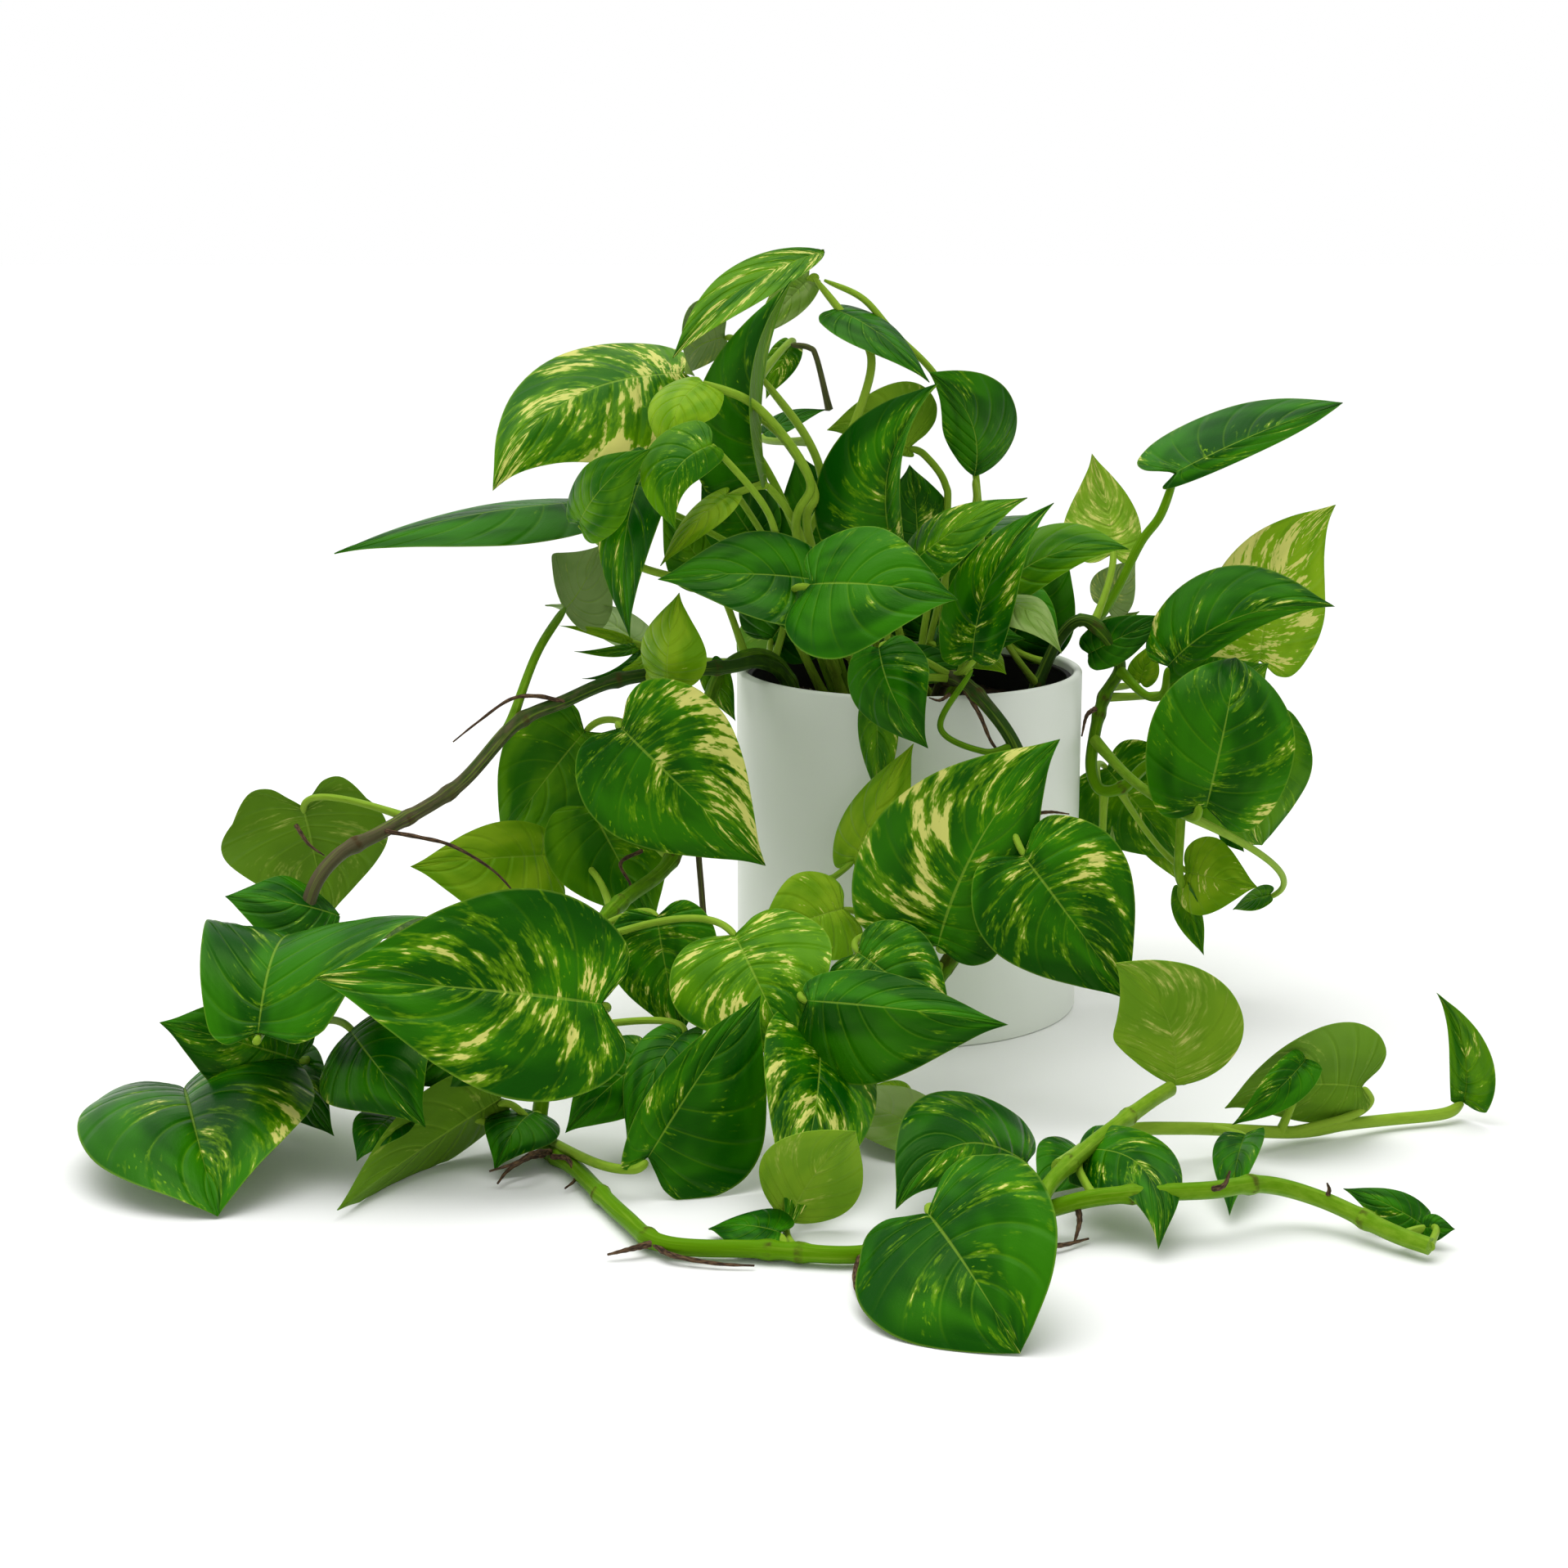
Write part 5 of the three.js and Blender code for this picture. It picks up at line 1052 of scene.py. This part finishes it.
@dataclass
class Leaf:
    """One heart-shaped leaf blade."""

    name: str
    base: Point
    tip: Point
    widths: tuple[float, float]
    face: Point
    bow: Point
    rise: tuple[float, float]
    curl: tuple[float, float]
    twist: float
    lobe: float
    tone: str
    variegation: float
    vine: str = ""
    share: float = 0.0
    seed: float = 0.0

    def cut(self) -> Cut:
        """The outline that this leaf is cut to."""
        return next((cut for cut, names in CUTS.items() if self.name in names), Cut.HEART)

    def length(self) -> float:
        """The distance from the base to the tip."""
        return float(np.linalg.norm(np.subtract(self.tip, self.base)))

    def axes(self) -> tuple[Array, Array, Array]:
        """Where the leaf starts, the way to its tip, and the way that its upper side faces, square to that.

        Returns:
            The base in millimetres, and two directions of length 1.
        """
        base = np.array(self.base, float)
        along = (np.array(self.tip, float) - base) / self.length()
        face = np.array(self.face, float)
        return base, along, unit(face - (face @ along) * along)

    def middle(self, u: Array, v: Array) -> tuple[Array, Array, Array]:
        """The middle surface of the blade.

        The midrib is a quadratic curve. A side vein starts on it at u^2.2, and sweeps out to the outline at
        u, lifted by the rise angle and bent by the curl angle, so that v = -1 and 1 are the right and left
        edges.

        Args:
            u: Shares from the base of the outline to its tip, as a column.
            v: Shares from the right edge to the left one, as a row.

        Returns:
            Points, directions of the upper side, and distances from the midrib in leaf lengths.
        """
        base, along, face = self.axes()
        tip, length = np.array(self.tip, float), self.length()
        side = np.cross(face, along)
        up_bow, side_bow, along_bow = self.bow
        knee = (base + tip) / 2 + 2 * length * (up_bow * face + side_bow * side + along_bow * along)
        outline = spline(self.cut().value, u[:, 0])
        edge_s = np.where(outline[:, :1] < 0, outline[:, :1] * self.lobe, outline[:, :1])
        left, out = v > 0, np.abs(v)
        width = outline[:, 1:] * np.where(left, *self.widths)
        start = u**VEIN_START
        along_knee, across_knee = VEIN_KNEE
        s = (1 - out) ** 2 * start + 2 * out * (1 - out) * (start + (edge_s - start) * along_knee)
        s = s + out**2 * edge_s
        t = 2 * out * (1 - out) * width * across_knee + out**2 * width
        inside = np.clip(s, 0, 1)
        tangent = unit(2 * (1 - inside)[..., None] * (knee - base) + 2 * inside[..., None] * (tip - knee))
        rib = bend(base, knee, tip, inside) + tangent * (length * np.minimum(s, 0))[..., None]
        up = unit(face - (tangent @ face)[..., None] * tangent)
        turn = np.radians(self.twist) * (inside - 0.5)[..., None]
        up = up * np.cos(turn) + np.cross(up, tangent) * np.sin(turn)
        over = np.cross(up, tangent)
        angle = np.radians(np.where(left, *self.rise))
        curve = np.radians(np.where(left, *self.curl))
        curve = np.where(np.abs(curve) < 1e-3, 1e-3, curve) / WIDEST
        outwards = (np.sin(angle + curve * t) - np.sin(angle)) / curve * np.sign(v)
        lift = (np.cos(angle) - np.cos(angle + curve * t)) / curve
        wave = np.sin(2 * np.pi * (WAVES * u + self.seed) + 0.9 * np.sign(v)) * (t / WIDEST) ** 2
        lift = lift + (EDGE_WAVE + WAVE_SPREAD * (self.seed % 1)) * wave
        return rib + length * (outwards[..., None] * over + lift[..., None] * up), up, t

    def sheets(self, u: Array, v: Array) -> tuple[Array, Array]:
        """The upper and the lower sheet of the blade.

        Args:
            u: Shares from the base of the outline to its tip, as a column.
            v: Shares from the right edge to the left one, as a row.

        Returns:
            Two grids of points. The side veins are sunk into both, and the midrib is grooved above and ridged
            below.
        """
        points, up, t = self.middle(u, v)
        normal = unit(np.cross(np.gradient(points, axis=0), np.gradient(points, axis=1)))
        normal[0], normal[-1] = unit(normal[1].mean(axis=0)), unit(normal[-2].mean(axis=0))
        normal = normal * np.sign((normal * up).sum())
        out = np.abs(v)
        rows_of_veins = np.abs(np.sin(SIDE_VEINS * np.pi * (u - VEIN_SWEEP * out)))
        puff = rows_of_veins * np.sin(np.pi * np.clip(out, 0, 1)) ** 0.8
        rib = np.exp(-((t / RIB_WIDTH) ** 2)) * (1 - u) ** 0.5
        half = LEAF_THICKNESS / 2 * (1 - 0.6 * out**8)
        relief = LEAF_RELIEF * self.length() * (puff - 0.5 * np.sin(np.pi * out)) * np.ones_like(u)
        upper = points + normal * (relief + half - RIB_GROOVE * rib)[..., None]
        lower = points + normal * (relief - half - RIB_RIDGE * rib)[..., None]
        return upper, lower

    def surface(self) -> Surface:
        """The blade as a closed plate, its columns closer together near the midrib.

        Returns:
            The plate, with the place on the leaf and the leaf's own traits as attributes.
        """
        u = np.linspace(0, 1, LEAF_ROWS + 1)[:, None]
        v = np.linspace(-1, 1, 2 * LEAF_COLUMNS + 1)[None]
        v = np.sign(v) * np.abs(v) ** COLUMN_PACKING
        points, places = [], []
        for under, sheet in enumerate(self.sheets(u, v)):
            where = np.stack(np.broadcast_arrays(u, v, float(under)), axis=-1)
            for grid, store in ((sheet, points), (where, places)):
                store.append(np.vstack([grid[[0, -1], LEAF_COLUMNS], grid[1:-1].reshape(-1, 3)]))
        lean = CREAM_SIDE.get(self.name, 0.35 * np.sin(70 * self.seed))
        trait = np.tile([self.variegation, self.seed * 10, lean], (2 * len(points[0]), 1))
        attributes = {"leaf_place": np.vstack(places), "leaf_trait": trait}
        return Surface(np.vstack(points), plate_faces(len(u), v.size), attributes).outward()

    def petiole(self, start: Array) -> Surface:
        """The leaf's stalk from a point on its vine, arriving in line with the midrib.

        Args:
            start: The point on the vine, in millimetres.

        Returns:
            The stalk.
        """
        base, along, face = self.axes()
        end = base + along * PETIOLE_TUCK[0] - face * PETIOLE_TUCK[1]
        reach = np.linalg.norm(end - start)
        back, down, up = PETIOLE_KNEE
        knee = end - back * reach * along - down * reach * face + np.array([0, 0, up * reach])
        centre = bend(start, knee, end, np.linspace(0, 1, PETIOLE_RINGS))
        return stalk(centre, PETIOLE_RADIUS, PETIOLE_AGE, self.seed)


def stalk(centre: Array, radius: float, age: float, seed: float) -> Surface:
    """A petiole: a stem that widens to a sheath where it starts and thins where it runs into the midrib.

    Its radius is the given one, times 1 + 0.45 exp(-s/0.1) - 0.6 exp(-(1-s)/0.04) along its share s.

    Args:
        centre: Points from where it starts to the leaf.
        radius: Its radius halfway, in millimetres.
        age: Age of its skin, 0 fresh green to 1 grey-brown.
        seed: Makes its pattern its own.

    Returns:
        A stem closed at both ends.
    """
    share = np.linspace(0, 1, len(centre))
    size = radius * (1 + 0.45 * np.exp(-share / 0.1) - 0.6 * np.exp(-(1 - share) / 0.04))
    sides = 12
    angle = np.linspace(0, 2 * np.pi, sides, endpoint=False)
    shape = size[:, None] * (1 + 0.07 * np.cos(2 * angle))
    joint = np.exp(-share / 0.04) * 0.5
    traits = np.stack([np.full(len(centre), age), joint, np.full(len(centre), seed)], axis=1)
    return tube(centre, shape, sides, traits)


def drawn_stalk(route: Route, radius: float, age: float, seed: float) -> Surface:
    """A petiole or shoot along a route drawn out point by point."""
    return stalk(spline(route, np.linspace(0, 1, 12 * len(route))), radius, age, seed)


@dataclass
class Vine:
    """A trailing stem with the petioles and side shoots that grow from it."""

    name: str
    radius: float
    age: tuple[float, float]
    points: Route

    def at(self, share: float) -> Array:
        """The point at a share of the vine's stretches."""
        return spline(self.points, np.array([share]))[0]

    def stem(self, joints: list[float]) -> Surface:
        """The ridged main stem, swollen at its nodes.

        Its radius is the given one, times 1 + 0.04 cos(5 angle) + 0.02 sin(9 angle + 0.15 run)
        + 0.25 exp(-(distance to a node / 2.4 mm)^2).

        Args:
            joints: Shares at which a petiole grows, each of which is a node.

        Returns:
            The stem, closed at both ends.
        """
        share = np.linspace(0, 1, 14 * len(self.points))
        centre = spline(self.points, share)
        run = run_along(centre)
        places = np.concatenate([np.interp(joints, share, run), np.arange(NODE_START, run[-1], NODE_STEP)])
        swell = np.exp(-(((run[:, None] - places[None]) / NODE_REACH) ** 2)).max(axis=1)
        sides = 20
        angle = np.linspace(0, 2 * np.pi, sides, endpoint=False)
        ridges = 0.04 * np.cos(5 * angle)[None] + 0.02 * np.sin(9 * angle[None] + run[:, None] * 0.15)
        radius = self.radius * (1 + ridges + NODE_SWELL * swell[:, None])
        age = self.age[0] + (self.age[1] - self.age[0]) * share
        traits = np.stack([age, swell, np.full(len(run), len(self.points))], axis=1)
        return tube(centre, radius, sides, traits)

    def surface(self, leaves: list[Leaf]) -> Surface:
        """The stem joined with its shoots and the petioles of its leaves.

        Args:
            leaves: All the leaves, of which it takes its own.

        Returns:
            One surface of several bodies.
        """
        mine = [leaf for leaf in leaves if leaf.vine == self.name]
        parts = [self.stem([leaf.share for leaf in mine])]
        parts += [leaf.petiole(self.at(leaf.share)) for leaf in mine]
        for vine, radius, age, route in SHOOTS:
            if vine == self.name:
                parts.append(drawn_stalk(route, radius * SHOOT_TAPER, age, radius))
        return joined(parts)


@dataclass
class Plant:
    """All the stems, leaves and roots of the plant."""

    vines: list[Vine] = field(default_factory=lambda: [Vine(name, *row) for name, row in VINES.items()])
    leaves: list[Leaf] = field(default_factory=lambda: [Leaf(*row) for row in LEAVES])
    small: list[Leaf] = field(default_factory=lambda: [Leaf(*row) for row in SMALL_LEAVES])

    def __post_init__(self) -> None:
        """Gives each leaf a seed of its own."""
        for number, leaf in enumerate(self.leaves + self.small):
            leaf.seed = (number * SEED_STEP + SEED_START) % 1

    def skeleton(self) -> Array:
        """Points along every stem, for finding where a small leaf's stalk starts.

        Returns:
            The points, in millimetres.
        """
        share = np.linspace(0, 1, 60)
        routes = [vine.points for vine in self.vines] + [route for *_, route in SHOOTS]
        return np.vstack([spline(route, share) for route in routes])

    def build_leaves(self) -> None:
        """Makes every leaf, those with a solid seated on its box."""
        finishes = {tone: finish.material() for tone, finish in LEAF_FINISHES.items()}
        for leaf in self.leaves + self.small:
            surface = leaf.surface()
            node = "leaf_" + leaf.name
            tone = Tone(leaf.tone)
            nodes: tuple[str, ...] = ()
            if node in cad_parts:
                low, high = (np.array(corner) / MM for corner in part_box(node))
                middle = (surface.points.min(axis=0) + surface.points.max(axis=0)) / 2
                surface.points += np.clip((low + high) / 2 - middle, -SEAT_LIMIT, SEAT_LIMIT)
                nodes = (node,)
            surface.points[:, 2] = np.maximum(surface.points[:, 2], LEAF_FLOOR)
            put_piece("blade_" + leaf.name, surface, finishes[tone], nodes)

    def build_vines(self, bark: bpy.types.Material) -> None:
        """Makes each vine with the petioles and shoots that grow from it.

        Args:
            bark: The material of stems.
        """
        for vine in self.vines:
            put_piece("stem_" + vine.name, vine.surface(self.leaves), bark, (vine.name,), 80)

    def build_small_stalks(self, bark: bpy.types.Material) -> None:
        """Makes the stalks of the small leaves: the drawn-out ones, and others from the nearest stem.

        Args:
            bark: The material of stems.
        """
        stems = self.skeleton()
        stalks = [drawn_stalk(route, radius, age, radius) for radius, age, route in SMALL_SHOOTS]
        drawn = np.array([route[-1] for *_, route in SMALL_SHOOTS + SHOOTS], float)
        for leaf in self.small:
            base = np.array(leaf.base, float)
            if np.linalg.norm(drawn - base, axis=1).min() < STALK_NEAR:
                continue
            above = np.maximum(stems[:, 2] - base[2], 0)
            gap = np.linalg.norm(stems - base, axis=1) + above * STALK_DOWNHILL
            stalks.append(leaf.petiole(stems[gap.argmin()]))
        put_piece("small_petioles", joined(stalks), bark, (), 80)

    def build_roots(self) -> None:
        """Makes the aerial roots, each thinning to a point."""
        parts = []
        for radius, route in ROOTS:
            share = np.linspace(0, 1, 10 * len(route))
            size = radius * (1 - 0.7 * share**1.5) * (1 + 0.08 * np.sin(share * 40))
            traits = np.zeros((len(share), 3))
            parts.append(tube(spline(route, share), size, 10, traits))
        put_piece("aerial_roots", joined(parts), RootFinish().material(), (), 80)


@dataclass
class Pot:
    """The white cylinder pot and the dark grow-pot inside it."""

    radius: float = 70.0
    height: float = 140.0
    wall: float = 3.6
    floor: float = 5.0
    sides: int = 192
    liner_gap: float = 0.4
    liner_wall: float = 1.1
    liner_top: float = 136.4
    liner_foot: float = 96.0
    lip_rise: float = 1.6
    foot_round: float = 1.2

    def shell(self) -> Surface:
        """The pot wall: a straight side with a softly rounded lip and foot.

        Returns:
            The wall and the floor as one closed surface.
        """
        inner = self.radius - self.wall
        lip = np.linspace(0, np.pi, 13)
        round_lip = np.stack([self.radius - self.wall / 2 + self.wall / 2 * np.cos(lip),
                              self.height + self.lip_rise * (np.sin(lip) - 1)], axis=1)
        foot = np.linspace(-np.pi / 2, 0, 6)
        round_foot = np.stack([self.radius + self.foot_round * (np.cos(foot) - 1),
                               self.foot_round * (1 + np.sin(foot))], axis=1)
        side = [(self.radius, z) for z in np.linspace(4, self.height - 4, 12)]
        inside = [(inner, z) for z in np.linspace(self.height - 4, self.floor + 2, 8)]
        bottom = [(inner - 2, self.floor), (inner * 0.5, self.floor), (0, self.floor)]
        underside = [(0, 0), (self.radius * 0.5, 0)]
        return lathe(np.vstack([underside, round_foot, side, round_lip, inside, bottom]), self.sides)

    def liner(self) -> Surface:
        """The rim of the grow-pot: a thin dark ring whose lip is rolled, as a torus of oblong section.

        Returns:
            The ring as one closed surface.
        """
        outer = self.radius - self.wall - self.liner_gap
        inner = outer - self.liner_wall
        low, high = self.liner_foot, self.liner_top
        ring = np.array([(outer, low), (outer, high - 0.6), (outer - 0.2, high), (inner - 1.0, high),
                         (inner - 1.2, high - 0.5), (inner - 1.0, high - 1.0), (inner, high - 1.2),
                         (inner, low)])
        angle = np.linspace(0, 2 * np.pi, self.sides, endpoint=False)
        x, y = ring[:, :1] * np.cos(angle), ring[:, :1] * np.sin(angle)
        body = np.stack([x, y, np.broadcast_to(ring[:, 1:], x.shape)], axis=-1).reshape(-1, 3)
        index = np.arange(len(body)).reshape(-1, self.sides)
        closed = np.vstack([index, index[:1]])
        return Surface(body, [grid_faces(np.hstack([closed, closed[:, :1]]))]).outward()

    def build(self) -> None:
        """Makes the pot and its liner."""
        white = MouldedFinish("pot_white", linear(236, 241, 231), linear(229, 235, 224), 0.42).material()
        # The liner's near-black is partly the grow-pot's black plastic and partly painted shade for the dark
        # inside the pot.
        black = MouldedFinish("liner_black", linear(10, 10, 10), linear(16, 15, 14), 0.6).material()
        put_piece("pot_wall", self.shell(), white, ("pot",), 40)
        put_piece("grow_pot_rim", self.liner(), black, (), 40)


@dataclass
class PottingMix:
    """The bed of potting mix, its top crumbly and slightly domed."""

    radius: float = 64.2
    bottom: float = 5.35
    top: float = 121.5
    dome: float = 3.0
    rings: int = 46
    sides: int = 150

    def surface(self) -> Surface:
        """A plug whose top is top + dome (1 - r^2) + crumbs, where the crumbs are smoothed seeded noise.

        Returns:
            The plug as one closed surface.
        """
        draw = np.random.default_rng(11)
        crumbs = draw.standard_normal((self.rings, self.sides))
        for _ in range(2):
            crumbs = (crumbs + np.roll(crumbs, 1, 1) + np.roll(crumbs, -1, 1)) / 3
            crumbs[1:] = (crumbs[1:] + crumbs[:-1]) / 2
        share = np.linspace(1, 0, self.rings, endpoint=False)[:, None]
        lift = self.dome * (1 - share**2) + 3.2 * crumbs * np.clip(share * 3, 0, 1)
        heights = self.top + lift * np.clip((1 - share) * 12, 0, 1)
        angle = np.linspace(0, 2 * np.pi, self.sides, endpoint=False)
        x, y = self.radius * share * np.cos(angle), self.radius * share * np.sin(angle)
        body = np.stack([x, y, heights], axis=-1)
        foot = body[:1].copy()
        foot[..., 2] = self.bottom
        grid = np.concatenate([foot, body]).reshape(-1, 3)
        poles = np.array([[0, 0, self.bottom], [0, 0, float(heights[-1].mean())]])
        faces = capped(wrapped(len(grid), self.sides), len(grid))
        return Surface(np.vstack([grid, poles]), faces).outward()

    def build(self) -> None:
        """Makes the bed."""
        put_piece("mix_bed", self.surface(), MixFinish().material(), ("soil",), 60)


@dataclass
class Studio:
    """White floor, soft overhead light, pale surroundings and the camera."""

    floor_half: float = 14.0
    sky: float = 0.58
    reflected: float = 0.5
    lamp: float = 1.9
    lamp_spread: float = 70.0  # degrees
    lamp_lean: Point = (-14, -10, 0)  # degrees
    panel: float = 4.5
    panel_size: tuple[float, float] = (1.3, 0.8)
    panel_place: Point = (-0.15, -0.1, 1.45)
    camera_place: Point = (-0.0508, -1.047, 0.322)
    pitch: float = 12.45
    lens: float = 60.0

    def floor(self) -> None:
        """A large white floor with a faint powdery tone."""
        half = self.floor_half
        mesh = bpy.data.meshes.new("studio_floor")
        corners = [(-half, -half, 0), (half, -half, 0), (half, half, 0), (-half, half, 0)]
        mesh.from_pydata(corners, [], [(0, 1, 2, 3)])
        shade = Shade("floor_white")
        cloud = shade.noise(shade.own_place(), 2, 6.0)
        colour = shade.mix(cloud, linear(247, 248, 246), linear(250, 250, 249))
        mesh.materials.append(shade.dress(Base_Color=colour, Roughness=0.6, Specular_IOR_Level=0.2))
        placed("studio_floor", mesh)

    def surroundings(self) -> None:
        """Pale surroundings that are white where the camera sees them."""
        world = bpy.data.worlds.new("studio_sky")
        bpy.context.scene.world = world
        world.use_nodes = True
        nodes, links = world.node_tree.nodes, world.node_tree.links
        background = nodes["Background"]
        background.inputs["Color"].default_value = (1, 1, 1, 1)
        path, blend = nodes.new("ShaderNodeLightPath"), nodes.new("ShaderNodeMapRange")
        blend.inputs["To Min"].default_value = self.sky
        blend.inputs["To Max"].default_value = 1.0
        links.new(path.outputs["Is Camera Ray"], blend.inputs["Value"])
        glossy = nodes.new("ShaderNodeMath")
        glossy.operation = "MULTIPLY_ADD"
        glossy.inputs[1].default_value = self.reflected - self.sky
        links.new(path.outputs["Is Glossy Ray"], glossy.inputs[0])
        links.new(blend.outputs["Result"], glossy.inputs[2])
        links.new(glossy.outputs[0], background.inputs["Strength"])

    def lamps(self) -> None:
        """A broad soft lamp, and a panel overhead that the leaves' sheen shows."""
        lamp = bpy.data.lights.new("overhead_lamp", "SUN")
        lamp.energy = self.lamp
        lamp.angle = np.radians(self.lamp_spread)
        holder = placed("overhead_lamp", lamp)
        holder.rotation_euler = np.radians(self.lamp_lean)
        holder.visible_glossy = False
        panel = bpy.data.lights.new("ceiling_panel", "AREA")
        panel.shape = "RECTANGLE"
        panel.size, panel.size_y = self.panel_size
        panel.energy = self.panel
        placed("ceiling_panel", panel).location = self.panel_place

    def camera(self) -> None:
        """The camera in front, looking slightly down along +Y."""
        data = bpy.data.cameras.new("camera")
        data.lens = self.lens
        data.sensor_width = 36.0
        data.clip_start = 0.01
        holder = placed("camera", data)
        holder.location = self.camera_place
        holder.rotation_euler = np.radians([90 - self.pitch, 0, 0])
        bpy.context.scene.camera = holder

    def build(self) -> None:
        """Sets up the whole studio."""
        self.floor()
        self.surroundings()
        self.lamps()
        self.camera()
        bpy.context.scene.view_settings.view_transform = "Standard"


def main() -> None:
    """Builds the studio, the pot, its mix and the plant, in that order."""
    logging.basicConfig(level=logging.INFO, format="%(name)s %(message)s")
    Studio().build()
    Pot().build()
    PottingMix().build()
    plant = Plant()
    bark = StemFinish().material()
    plant.build_vines(bark)
    plant.build_small_stalks(bark)
    plant.build_roots()
    plant.build_leaves()


if __name__ == "__main__":
    main()
